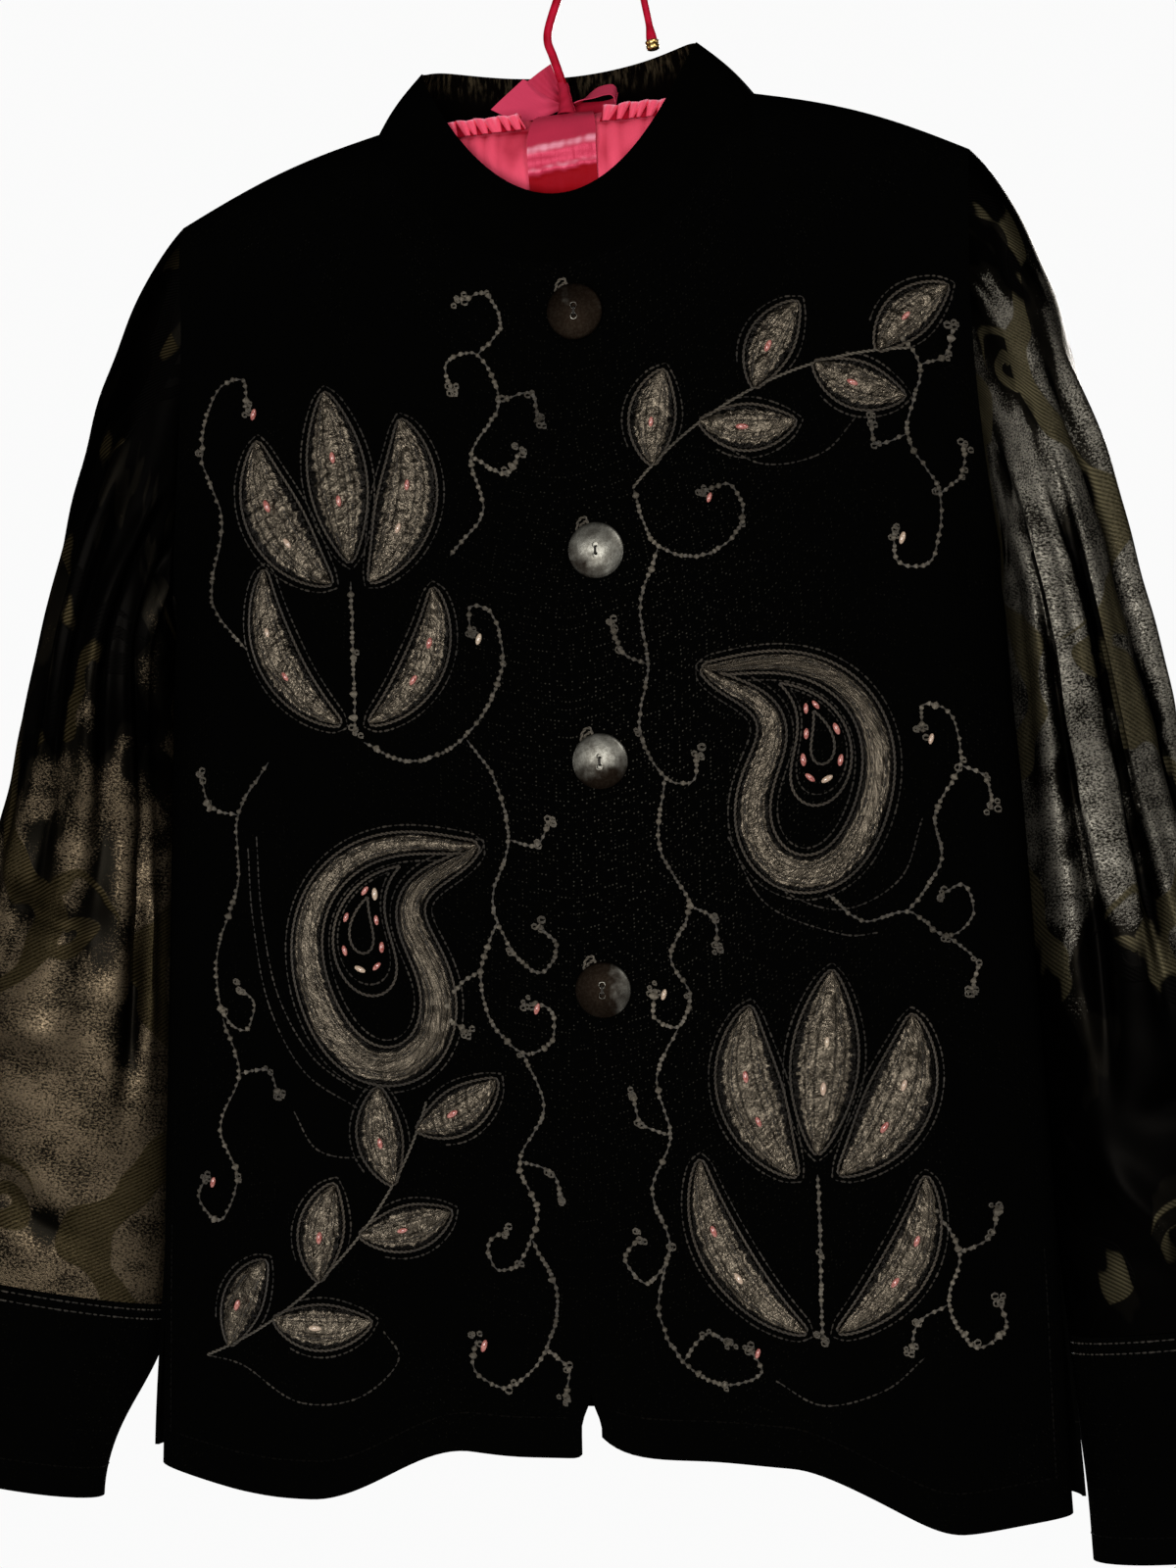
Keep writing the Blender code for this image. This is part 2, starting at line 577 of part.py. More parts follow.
# The collar's foot follows the neckline, its upper edge leans in; it opens at the centre front.
def make_collar():
    foot, foot_normals = neckline()
    quarter = neck_angles()
    half = np.concatenate((quarter, math.pi - quarter[-2::-1]))
    angles = np.concatenate((half, 2 * math.pi - half[-2::-1]))
    forward = np.cos(angles) > 0.0
    lean = np.abs(np.cos(angles)) ** COLLAR_CURVE
    top_x = COLLAR_HALF * np.sin(angles) + COLLAR_SHIFT * np.sin(angles) ** 2
    top_x[[0, -1]] = foot[[0, -1], 0]
    top_y = -np.cos(angles) * np.where(forward, COLLAR_DEPTH["front"], COLLAR_DEPTH["back"])
    top_z = COLLAR_Z - lean * np.where(forward, COLLAR_DROP["front"], COLLAR_DROP["back"])
    top = np.stack((top_x, top_y, top_z), axis=-1)
    foot = foot + COLLAR_SEAM * unit(top - foot)
    rise = np.linspace(1.0, 0.0, COLLAR_ROWS + 1)[:, None, None]
    outward = np.stack((np.sin(angles), -np.cos(angles), 0 * angles), axis=-1)
    grid = foot + (top - foot) * rise + COLLAR_SWELL * np.sin(math.pi * rise) * outward
    normals = grid_normals(grid, np.broadcast_to(outward, grid.shape))
    normals[-1] = foot_normals
    normals[:, [0, -1], 0] = 0.0
    make_wall("collar", grid, grid - COLLAR_WALL * unit(normals), "cloth")


# A panel's mesh as a tree that answers where a line along y meets it.
def panel_tree(obj):
    mesh = obj.data
    return BVHTree.FromPolygons([v.co for v in mesh.vertices], [tuple(p.vertices) for p in mesh.polygons])


def on_panel(tree, x, z):
    point, normal, _, _ = tree.ray_cast(Vector((x, -1.0, z)), Vector((0.0, 1.0, 0.0)))
    return np.array(point), np.array(normal)


def profile_rings(profile, sides):
    angles = np.linspace(0.0, 2 * math.pi, sides, endpoint=False)
    radius, height = np.array(profile).T
    ring = np.stack((np.cos(angles), 0 * angles, np.sin(angles)), axis=-1)
    return radius[:, None, None] * ring + height[:, None, None] * np.array((0.0, -1.0, 0.0))


# Rings of equal size joined into a closed body with flat ends.
def ring_body(rings):
    count, sides = rings.shape[:2]
    index = np.arange(count * sides).reshape(count, sides)
    quads = grid_faces(index, True)
    vertices = rings.reshape(-1, 3)
    turned = face_outward(vertices, quads)
    ends = [index[0], index[-1][::-1]]
    if np.array_equal(turned, quads):
        ends = [end[::-1] for end in ends]
    return vertices, [list(f) for f in turned] + [list(end) for end in ends]


# A button turned about its axis, with a thread shank behind it and two blind holes one above the other.
def make_button(name, tree, x, z):
    back = BUTTON_STAND
    face = back + BUTTON_EDGE
    profile = (
        (SHANK_RADIUS, SEAM),
        (SHANK_RADIUS, back),
        (BUTTON_RADIUS * BUTTON_BACK, back),
        (BUTTON_RADIUS, back + BUTTON_EDGE / 2),
        (BUTTON_RADIUS, face),
        (BUTTON_RADIUS - BUTTON_RIM, face + BUTTON_RIM / 2),
        *((BUTTON_RADIUS * wide, back + BUTTON_CROWN * high) for wide, high in BUTTON_DOME),
    )
    button = make_object(name, *ring_body(profile_rings(profile, BUTTON_SIDES)), "button")
    point, normal = on_panel(tree, x, z)
    button.location = point
    button.rotation_mode = "QUATERNION"
    button.rotation_quaternion = Vector((0.0, -1.0, 0.0)).rotation_difference(Vector(normal))
    for order, up in enumerate((-0.5, 0.5)):
        deep = back + BUTTON_CROWN - HOLE_DEPTH
        hole = profile_rings(((HOLE_RADIUS, deep), (HOLE_RADIUS, back + 2 * BUTTON_CROWN)), HOLE_SIDES)
        hole[..., 2] += up * HOLE_PITCH
        cutter = make_object(f"{name}_hole_{order}", *ring_body(hole), "button")
        cutter.location = button.location
        cutter.rotation_mode = "QUATERNION"
        cutter.rotation_quaternion = button.rotation_quaternion
        cutter.hide_render = True
        cutter.display_type = "WIRE"
        cut = button.modifiers.new(f"hole_{order}", "BOOLEAN")
        cut.operation = "DIFFERENCE"
        cut.object = cutter


# A patch along a path on a panel: a thin crowned strip that tapers to both ends.
def make_patch(name, tree, path, half_widths, across_steps):
    ahead = unit(np.gradient(path, axis=0))
    across = np.stack((-ahead[:, 1], ahead[:, 0]), axis=-1)
    shares = np.linspace(-1.0, 1.0, across_steps + 1)
    flat = path[:, None] + (half_widths[:, None] * shares)[..., None] * across[:, None]
    hits = [[on_panel(tree, x, z) for x, z in row] for row in flat]
    points = np.array([[hit[0] for hit in row] for row in hits])
    normals = np.array([[hit[1] for hit in row] for row in hits])
    thick = PATCH_EDGE + PATCH_CROWN * (1.0 - shares**2)
    inner = points + PATCH_LIFT * normals
    outer = inner + thick[None, :, None] * normals
    make_object(name, *wall_mesh(outer, inner), "satin")


def panel_name(x):
    return "front_right" if x < 0 else "front_left"


# Headings and points of an arc from its root, evenly stepped.
def arc_path(x, z, heading, bend, length, steps):
    share = np.linspace(0.0, 1.0, steps + 1)
    turn = np.radians(heading + bend * share)
    middle = (turn[1:] + turn[:-1]) / 2
    run = np.cumsum(np.stack((np.cos(middle), np.sin(middle)), axis=-1) * length / steps, axis=0)
    return np.array((x, z)) + np.concatenate((np.zeros((1, 2)), run)), np.degrees(turn)


# A leaf, petal or blade is a patch along an arc that swells in the middle.
def make_leaf(name, trees, x, z, heading, bend, length, half_width, across=LEAF_ACROSS):
    path, _ = arc_path(x, z, heading, bend, length, LEAF_STEPS)
    swell = np.sin(math.pi * np.linspace(0.0, 1.0, LEAF_STEPS + 1)) ** LEAF_SWELL
    make_patch(name, trees[panel_name(x)], path, PATCH_END + (half_width - PATCH_END) * swell, across)


# Leaves stand on alternate sides of a spray's stem.
def make_sprays(trees):
    for name, row in SPRAYS.items():
        spray = dict(zip(SPRAY_COLUMNS, row))
        stem, turns = arc_path(*row[:5], spray["leaves"] * 2)
        for order in range(spray["leaves"]):
            knot = 2 * order + 1
            side = 1 if order % 2 == 0 else -1
            root = stem[knot]
            heading = turns[knot] + side * spray["leaf_angle"]
            leaf = (*root, heading, -side * LEAF_BEND, spray["leaf_length"], spray["half_width"])
            make_leaf(f"leaf_{name}_{order + 1}", trees, *leaf)


# Petals fan out from a flower's root and curl back towards its axis.
def make_flowers(trees):
    for name, row in FLOWERS.items():
        flower = dict(zip(FLOWER_COLUMNS, row))
        for order in range(-flower["each_side"], flower["each_side"] + 1):
            heading = flower["heading"] + order * flower["spread"]
            bend = order * flower["spread"] * PETAL_CURL
            root = (flower["x"] - PETAL_STEP * order, flower["z"] - PETAL_STEP * abs(order))
            petal = (*root, heading, bend, flower["length"], flower["half_width"])
            make_leaf(f"petal_{name}_{order + flower['each_side'] + 1}", trees, *petal, PETAL_ACROSS)
    for name, row in BLADES.items():
        make_leaf(f"blade_{name}", trees, **dict(zip(BLADE_COLUMNS, row)))


# A teardrop border runs from the bent tip round the belly and back to the tip.
def make_drops(trees):
    share = np.linspace(0.0, 1.0, DROP_STEPS + 1)
    turn = 2 * math.pi * (DROP_OPEN + (1 - 2 * DROP_OPEN) * share)
    for name, row in DROPS.items():
        drop = dict(zip(DROP_COLUMNS, row))
        along = np.cos(turn) * drop["length"] / 2
        aside = np.sin(turn) * np.sin(turn / 2) ** DROP_SHAPE * drop["breadth"] / 2
        bend = np.radians(drop["heading"] + drop["bend"] * smooth(0.5 + along / drop["length"]) ** 2)
        x = drop["x"] + along * np.cos(bend) - aside * np.sin(bend)
        z = drop["z"] + along * np.sin(bend) + aside * np.cos(bend)
        widths = PATCH_END + (drop["half_width"] - PATCH_END) * np.sin(math.pi * share) ** DROP_SWELL
        path = np.stack((x, z), axis=-1)
        make_patch("paisley_" + name, trees[panel_name(drop["x"])], path, widths, DROP_ACROSS)


# Upper line of the hanger's pad: level in the middle, then down the shoulders.
def pad_top(x):
    slope = (NECK_Z - SHOULDER_Z) / (SHOULDER_HALF - NECK_HALF)
    past = np.abs(x) - PAD_KNEE_X
    return PAD_TOP_Z - slope * (past + np.sqrt(past**2 + PAD_KNEE_SOFT**2)) / 2


# Oval sections of the pad, grown by a given amount.
def pad_rings(x, sides, grow=0.0):
    x = np.asarray(x)[:, None]
    angles = np.linspace(0.0, 2 * math.pi, sides, endpoint=False)
    past = np.clip((np.abs(x) - (PAD_HALF - PAD_END)) / PAD_END, 0.0, PAD_BLUNT)
    size = np.sqrt(1.0 - past**2)
    y = (PAD_DEPTH * size + grow) * np.cos(angles)
    z = pad_top(x) - PAD_RISE + (PAD_RISE * size + grow) * np.sin(angles)
    return np.stack((x + 0 * y, y, z), axis=-1)


def make_pad():
    ends = PAD_HALF - PAD_END * (1.0 - np.sin(np.linspace(0.0, math.pi / 2, PAD_END_STEPS)))
    half = np.concatenate((np.linspace(0.0, PAD_HALF - PAD_END, PAD_STEPS)[:-1], ends))
    x = np.concatenate((-half[:0:-1], half))
    make_object("hanger_pad", *ring_body(hang(pad_rings(x, PAD_SIDES))), "pink")
    x = np.linspace(-RIBBON_HALF, RIBBON_HALF, 3)
    outer = pad_rings(x, RIBBON_SIDES, SEAM + RIBBON_WALL)
    make_wall("hanger_ribbon", outer, pad_rings(x, RIBBON_SIDES, SEAM), "pink", closed=True)


# A gathered strip, sewn to the pad's front at an angle from its upper line, that stands upright.
def make_ruffles():
    for name, side in (("right", -1), ("left", 1)):
        share = np.linspace(0.0, 1.0, RUFFLE_WAVES * 4 + 1)
        x = side * (RUFFLE_START + (RUFFLE_END - RUFFLE_START) * share)
        wave = np.sin(2 * math.pi * RUFFLE_WAVES * share)
        turn = math.radians(RUFFLE_TURN)
        foot_y = -PAD_DEPTH * math.sin(turn) - SEAM - RUFFLE_WALL - RUFFLE_SWING / 4
        foot_z = pad_top(x) - PAD_RISE * (1.0 - math.cos(turn))
        rows = []
        for rise, swing in ((RUFFLE_HEIGHT, RUFFLE_SWING), (0.0, RUFFLE_SWING / 4)):
            rows.append(np.stack((x, foot_y + swing * wave, foot_z + rise), axis=-1))
        outer = np.array(rows)
        inner = outer + np.array((0.0, RUFFLE_WALL, 0.0))
        make_wall("hanger_ruffle_" + name, outer, inner, "pink")


# Points of a smooth curve through the given ones.
def through(points, steps):
    points = np.asarray(points, dtype=float)
    padded = np.concatenate((2 * points[:1] - points[1:2], points, 2 * points[-1:] - points[-2:-1]))
    curve = []
    for a, b, c, d in zip(padded, padded[1:], padded[2:], padded[3:]):
        for t in np.linspace(0.0, 1.0, steps, endpoint=False):
            bent = (2 * a - 5 * b + 4 * c - d) * t**2 + (3 * b - a - 3 * c + d) * t**3
            curve.append((2 * b + (c - a) * t + bent) / 2)
    return np.array(curve + [points[-1]])


# The covered wire: a stem, a round top that hangs on a rod, and a short end.
def make_hook():
    radius = WIRE_RADIUS - HOOK_ARC_Z
    turn = np.linspace(math.pi, 0.0, ARC_STEPS)
    arc = np.stack((HANG_X + radius * np.cos(turn), HOOK_ARC_Z + radius * np.sin(turn)), axis=-1)
    seat = float(pad_top(np.zeros(1))[0]) + SEAM + RIBBON_WALL + HOOK_CLEAR
    route = np.concatenate((np.array(HOOK_STEM), arc, np.array(HOOK_TIP)))
    route[0, 1] = seat
    path = through(route, 2)
    ahead = unit(np.gradient(path, axis=0))
    around = np.linspace(0.0, 2 * math.pi, WIRE_SIDES, endpoint=False)
    x = path[:, :1] - WIRE_RADIUS * ahead[:, 1:] * np.cos(around)
    z = path[:, 1:] + WIRE_RADIUS * ahead[:, :1] * np.cos(around)
    y = WIRE_RADIUS * np.sin(around) + 0 * x
    make_object("hanger_hook", *ring_body(np.stack((x, y, z), axis=-1)), "tube")
    ahead = unit(path[-1] - path[-2])
    profile = [(wide * TIP_RADIUS, share * TIP_LENGTH) for wide, share in TIP_PROFILE]
    rings = profile_rings(profile, TIP_SIDES)
    tip = make_object("hanger_tip", *ring_body(rings), "gold")
    tip.location = (path[-1, 0] + SEAM * ahead[0], 0.0, path[-1, 1] + SEAM * ahead[1])
    tip.rotation_mode = "QUATERNION"
    tip.rotation_quaternion = Vector((0.0, -1.0, 0.0)).rotation_difference(Vector((ahead[0], 0.0, ahead[1])))


# A ribbon bow tied close behind the hook's stem.
def make_bow():
    angles = np.linspace(0.0, 2 * math.pi, BOW_SIDES, endpoint=False)
    rings = []
    for row in BOW:
        section = dict(zip(BOW_COLUMNS, row))
        y = BOW_Y + section["half_thick"] * np.cos(angles)
        z = section["z"] + section["half_height"] * np.sin(angles)
        rings.append(np.stack((section["x"] + 0 * y, y, z), axis=-1))
    make_object("hanger_bow", *ring_body(np.array(rings)), "pink")


def main():
    for obj in list(bpy.data.objects):
        bpy.data.objects.remove(obj, do_unlink=True)
    anchor = bpy.data.objects.new("hang_point", None)
    anchor.location = (-HANG_X, 0.0, 0.0)
    bpy.context.scene.collection.objects.link(anchor)
    fronts = make_fronts()
    make_back()
    make_sleeves()
    make_collar()
    trees = {name: panel_tree(obj) for name, obj in fronts.items()}
    for order, (x, z) in enumerate(BUTTON_PLACES, 1):
        make_button(f"button_{order}", trees["front_left"], x, z)
    make_sprays(trees)
    make_flowers(trees)
    make_drops(trees)
    make_pad()
    make_ruffles()
    make_hook()
    make_bow()


main()
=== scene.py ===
# Looks of the embroidered jacket on its padded hanger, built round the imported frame.
import math

import bmesh
import bpy
import numpy as np
from mathutils import Matrix, Vector


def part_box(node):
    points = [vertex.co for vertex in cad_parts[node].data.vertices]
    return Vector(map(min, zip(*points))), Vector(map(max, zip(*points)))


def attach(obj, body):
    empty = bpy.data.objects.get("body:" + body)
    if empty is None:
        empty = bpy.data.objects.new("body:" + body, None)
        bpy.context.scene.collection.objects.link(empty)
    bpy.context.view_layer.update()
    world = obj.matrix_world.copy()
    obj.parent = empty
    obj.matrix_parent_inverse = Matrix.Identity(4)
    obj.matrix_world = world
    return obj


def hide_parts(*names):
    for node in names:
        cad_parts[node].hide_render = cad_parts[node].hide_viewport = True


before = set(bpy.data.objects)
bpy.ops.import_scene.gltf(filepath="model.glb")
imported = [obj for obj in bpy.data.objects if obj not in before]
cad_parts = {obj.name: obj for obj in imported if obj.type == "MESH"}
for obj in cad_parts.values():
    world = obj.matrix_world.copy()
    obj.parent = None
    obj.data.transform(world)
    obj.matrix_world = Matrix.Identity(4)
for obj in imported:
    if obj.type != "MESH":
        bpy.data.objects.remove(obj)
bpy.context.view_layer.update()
dice = np.random.default_rng(7)

# The jacket's sizes are the frame's own, in metres from the jacket's centre line and the hook's bend.
cloth = dict(wall=0.002, seam=0.0003, seamJump=0.05, seamStep=0.001, sharpTurn=50)
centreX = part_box("front_left")[0][0] - cloth["seam"]
# The wearer's right is on the viewer's left.
sides = dict(right=-1, left=1)

body = dict(
    neckHalf=0.097, neckZ=-0.0755, neckDrop=dict(front=0.0815, back=0.0105), neckCurve=1.5,
    shoulderHalf=0.204, shoulderZ=-0.1135, shoulderRound=0.03, shoulderCrown=0.0045,
    underarmHalf=0.216, underarmZ=-0.325, armholeHollow=0.006, fullness=0.035, fullnessRise=0.13,
    hemHalf=0.238, hemLevel=dict(front=-0.7545, back=-0.752), hemDip=dict(front=0.03, back=0.026),
    dipStart={-1: 0.058, 1: 0.096}, dipRun=0.085, cornerRise=0.004, cornerStart=0.18, cornerRun=0.058,
    notchRise={-1: 0.002, 1: 0.0110}, notchRun={-1: 0.0015, 1: 0.0115}, notchSteps=12, notchCrowd=1.5,
    ventZ=-0.635, ventRun=0.14, ventSet=dict(front=-0.003, back=0.004), edgeGap=0.00004,
    ventLift=dict(front=0.006, back=0.0), edgePart=0.005, edgePartZ=-0.722, edgePartRun=0.018,
    ripple=0.0005, ripplePitch=0.07, speckX=0.036, speckZ=-0.42, speckWide=0.07, speckHigh=0.15,
    # Painted light on the back's ridges: a base, gains from folds and creases, half breadth and fade at the
    # sides.
    rearLightBase=0.06, rearFoldLight=40.0, rearCreaseLight=200.0, rearLightHalf=0.215, rearLightFade=0.03,
    depth=dict(front=(0.030, 0.046, 0.050), back=(0.030, 0.040, 0.046)), chestFall=0.14, sidePower=2.2,
    topLean=0.042, hemLean=-0.05, leanTopZ=-0.1, leanHemZ=-0.78, sideTurn=0.3,
    neckSteps=40, shoulderSteps=40, armholeSteps=58, sideSteps=88, foldRamp=0.22,
)
# Large folds: x at the hem, x at the top, z of the top, half width, height.
bodyFolds = dict(
    front=(
        (-0.165, -0.140, -0.40, 0.028, 0.010), (-0.095, -0.085, -0.46, 0.024, -0.007),
        (-0.040, -0.050, -0.50, 0.020, 0.004), (0.060, 0.050, -0.48, 0.024, -0.005),
        (0.120, 0.105, -0.42, 0.026, 0.006), (0.180, 0.165, -0.38, 0.022, 0.010),
    ),
    back=(
        (-0.150, -0.120, -0.36, 0.030, 0.010), (-0.055, -0.070, -0.30, 0.028, -0.008),
        (0.040, 0.030, -0.34, 0.030, 0.007), (0.125, 0.105, -0.32, 0.028, -0.007),
        (0.185, 0.160, -0.40, 0.022, 0.009),
    ),
)
# Creases: x and z of one end, x and z of the other, half width, height, bow as a share of the length.
bodyCreases = dict(
    front=(
        (-0.190, -0.150, -0.120, -0.330, 0.008, -0.0016, 0.06),
        (-0.198, -0.190, -0.160, -0.400, 0.007, 0.0014, -0.05),
        (-0.205, -0.300, -0.110, -0.360, 0.009, 0.0015, 0.10),
        (-0.208, -0.345, -0.140, -0.430, 0.006, -0.0014, 0.08),
        (0.188, -0.160, 0.118, -0.320, 0.008, -0.0015, -0.07),
        (0.200, -0.215, 0.165, -0.380, 0.006, 0.0013, 0.05),
        (0.206, -0.310, 0.100, -0.370, 0.010, 0.0016, -0.09),
        (0.208, -0.360, 0.150, -0.470, 0.007, -0.0013, -0.06),
        (-0.150, -0.520, -0.190, -0.770, 0.010, -0.0018, 0.04),
        (-0.060, -0.560, -0.070, -0.750, 0.008, 0.0014, -0.05),
        (0.070, -0.600, 0.085, -0.760, 0.009, -0.0014, 0.03),
        (0.160, -0.540, 0.205, -0.770, 0.011, 0.0018, -0.04),
        (-0.012, -0.195, -0.060, -0.245, 0.006, -0.0010, 0.08),
        (0.020, -0.310, 0.070, -0.350, 0.007, -0.0010, 0.08),
        (-0.010, -0.415, -0.070, -0.440, 0.007, 0.0009, 0.07),
        (0.020, -0.530, 0.080, -0.560, 0.008, 0.0010, 0.05),
    ),
    back=(
        (-0.185, -0.150, -0.090, -0.330, 0.010, -0.0018, 0.05),
        (0.190, -0.155, 0.100, -0.320, 0.011, -0.0017, -0.06),
        (-0.205, -0.310, -0.080, -0.380, 0.010, 0.0016, 0.08),
        (0.205, -0.320, 0.070, -0.400, 0.009, 0.0015, -0.07),
        (-0.120, -0.450, -0.170, -0.740, 0.012, 0.0020, 0.04),
        (0.000, -0.420, -0.015, -0.740, 0.012, -0.0018, 0.03),
        (0.090, -0.470, 0.120, -0.740, 0.010, 0.0018, -0.04),
        (-0.060, -0.150, 0.060, -0.165, 0.010, -0.0012, 0.10),
    ),
)


# Even shares from 0 to 1.
def evenShares(count):
    return np.linspace(0.0, 1.0, count)


# A value kept between 0 and 1.
def limited(t):
    return np.clip(t, 0.0, 1.0)


# Soft step from 0 to 1.
def smooth(t):
    t = limited(t)
    return t * t * (3.0 - 2.0 * t)


# The way from one value to another, by a share.
def blend(first, second, share):
    return first + (second - first) * share


# Bell-shaped fall from 1 at zero.
def bell(t):
    return np.exp(-(t**2))


# Even angles once round.
def roundAngles(count):
    return np.linspace(0.0, 2 * math.pi, count, endpoint=False)


# Vectors divided by their lengths.
def unit(vectors):
    return vectors / np.maximum(np.linalg.norm(vectors, axis=-1, keepdims=True), 1e-12)


# Columns of values, brought to one shape, as points.
def stacked(*columns):
    return np.stack(np.broadcast_arrays(*columns), axis=-1)


# Lengths of the steps along one axis of a line or grid of points.
def stepLengths(points, axis=0):
    return np.linalg.norm(np.diff(points, axis=axis), axis=-1)


# Area of a grid: half the cross product of each quad's diagonals.
def gridArea(grid):
    diagonals = np.cross(grid[1:, 1:] - grid[:-1, :-1], grid[1:, :-1] - grid[:-1, 1:])
    return float(np.linalg.norm(diagonals, axis=-1).sum() / 2)


# A sum of a few slanted sine waves, a gentle unevenness of about unit height.
def ripple(a, b, size, seed):
    waves = np.random.default_rng(seed)
    total = 0.0
    for _ in range(7):
        turn, phase = waves.uniform(0, 2 * math.pi), waves.uniform(0, 2 * math.pi)
        pitch = waves.uniform(0.6, 1.7)
        total += np.sin((np.cos(turn) * a + np.sin(turn) * b) * 2 * math.pi / (size * pitch) + phase)
    return total / 3.5


# Troughs and ridges along bowed lines: a bell across each line that fades at both ends.
def creases(a, b, rows):
    total = 0.0
    for a0, b0, a1, b1, width, height, bow in rows:
        length = math.hypot(a1 - a0, b1 - b0)
        along = ((a - a0) * (a1 - a0) + (b - b0) * (b1 - b0)) / length**2
        away = ((a - a0) * (b1 - b0) - (b - b0) * (a1 - a0)) / length
        across = away - bow * length * 4 * along * (1 - along)
        total += height * bell(across / width) * smooth(along / 0.3) * smooth((1 - along) / 0.3)
    return total


# Rate at which a level climbs with x: it changes evenly from top to hem.
def leanAt(z):
    share = (body["leanTopZ"] - z) / (body["leanTopZ"] - body["leanHemZ"])
    return blend(body["topLean"], body["hemLean"], share)


# The hung shape: each point goes up by its x times the rate at its level.
def hang(points):
    leaned = np.array(points, dtype=float)
    leaned[..., 2] += leaned[..., 0] * leanAt(leaned[..., 2])
    return leaned


# The level before hanging, from the same straight rule solved for z.
def unhang(x, z):
    rate = (body["hemLean"] - body["topLean"]) / (body["leanTopZ"] - body["leanHemZ"])
    return (z - x * (body["topLean"] + rate * body["leanTopZ"])) / (1.0 - x * rate)


# The shoulder seam falls from the neck to the shoulder point with a slight crown.
def shoulderLine(x):
    out = (np.abs(x) - body["neckHalf"]) / (body["shoulderHalf"] - body["neckHalf"])
    crown = body["shoulderCrown"] * np.sin(math.pi * limited(out))
    return blend(body["neckZ"], body["shoulderZ"], out) + crown


# How far the side vent has opened at a level, from 0 to 1.
def vent(z):
    return smooth((body["ventZ"] - z) / body["ventRun"])


# The side seam runs straight from underarm to hem.
def sideX(z):
    fall = (body["underarmZ"] - z) / (body["underarmZ"] - body["hemLevel"]["front"])
    return blend(body["underarmHalf"], body["hemHalf"], fall)


# Outer edge of a panel: the armhole above the underarm, the side seam below it.
def panelX(z, panel):
    rise = limited((z - body["underarmZ"]) / (body["shoulderZ"] - body["underarmZ"]))
    armhole = blend(body["underarmHalf"], body["shoulderHalf"], rise)
    armhole = armhole - body["armholeHollow"] * np.sin(math.pi * rise)
    return np.where(z > body["underarmZ"], armhole, sideX(z) + body["ventSet"][panel] * vent(z))


# The front edges meet, and part a little near the hem.
def frontEdgeX(z):
    return body["edgeGap"] + body["edgePart"] * smooth((body["edgePartZ"] - z) / body["edgePartRun"])


# The hem dips away from the middle, lifts at its corner and, in front, rises steeply at the notch.
def hemZ(x, side, panel):
    dip = smooth((x - body["dipStart"][side]) / body["dipRun"])
    level = body["hemLevel"][panel] - body["hemDip"][panel] * dip
    level = level + body["cornerRise"] * smooth((x - body["cornerStart"]) / body["cornerRun"])
    if panel == "front":
        level = level + body["notchRise"][side] * np.exp(-x / body["notchRun"][side])
    return level


# The neckline falls below the neck point by a power of the cosine.
def neckZ(angle, panel):
    return body["neckZ"] - body["neckDrop"][panel] * np.abs(np.cos(angle)) ** body["neckCurve"]


# Large folds: bell-shaped ridges and troughs that grow towards the hem.
def panelFolds(x, z, panel):
    total = 0.0
    for hemAt, topAt, topZ, width, height in bodyFolds[panel]:
        run = limited((topZ - z) / (topZ - body["hemLevel"][panel]))
        ridge = bell((x - topAt - (hemAt - topAt) * run) / width)
        total += height * ridge * smooth((topZ - z) / body["foldRamp"])
    return total


# A panel's outer face as a y value: its cross-section times its depth, with folds and fine creases.
def panelY(x, z, panel):
    fall = shoulderLine(x) - z
    over = np.sqrt(1.0 - (1.0 - limited(fall / body["shoulderRound"])) ** 2)
    lift = limited((z - body["underarmZ"]) / body["fullnessRise"])
    half = panelX(z, panel) + body["fullness"] * np.sin(lift * math.pi / 2)
    cross = np.sqrt(limited(1.0 - (np.abs(x) / half) ** body["sidePower"]))
    shoulder, chest, hem = body["depth"][panel]
    depth = blend(shoulder, chest, smooth(fall / body["chestFall"]))
    drop = (body["underarmZ"] - z) / (body["underarmZ"] - body["hemLevel"][panel])
    depth = depth + (hem - chest) * limited(drop) + panelFolds(x, z, panel)
    fine = creases(x, z, bodyCreases[panel]) + body["ripple"] * ripple(x, z, body["ripplePitch"], 3)
    stand = cloth["seam"] / 2 + (depth + fine) * over * cross + body["ventLift"][panel] * vent(z)
    return stand if panel == "back" else -stand


# Half of a panel as rows from neck and shoulder down to the hem, and columns from the centre to the side.
def halfPanel(side, panel):
    angles = np.linspace(0.0, math.pi / 2, body["neckSteps"])
    along = evenShares(body["shoulderSteps"] + 1)[1:]
    shoulderAt = blend(body["neckHalf"], body["shoulderHalf"], along)
    topX = np.concatenate((body["neckHalf"] * np.sin(angles), shoulderAt))
    topZ = np.concatenate((neckZ(angles, panel), shoulderLine(shoulderAt)))
    lowShare = np.sin(np.linspace(0.0, math.pi / 2, len(topX)))
    near = body["notchSteps"]
    lowShare[:near] = lowShare[near - 1] * evenShares(near) ** body["notchCrowd"]
    lowZ = hemZ(lowShare * panelX(np.array(body["hemLevel"][panel]), panel), side, panel)
    underarmRow = (body["shoulderZ"] - body["underarmZ"]) / (body["shoulderZ"] - lowZ[-1])
    upper = underarmRow * evenShares(body["armholeSteps"] + 1) ** 2
    lower = blend(underarmRow, 1.0, evenShares(body["sideSteps"] + 1)[1:])
    rows = np.concatenate((upper, lower))[:, None]
    share = blend(topX / body["shoulderHalf"], lowShare, smooth(rows / underarmRow))
    z = blend(topZ, lowZ, rows)
    edge = frontEdgeX(z) if panel == "front" else np.zeros_like(z)
    x = side * blend(edge, panelX(z, panel), share)
    return stacked(x, panelY(x, z, panel), z)


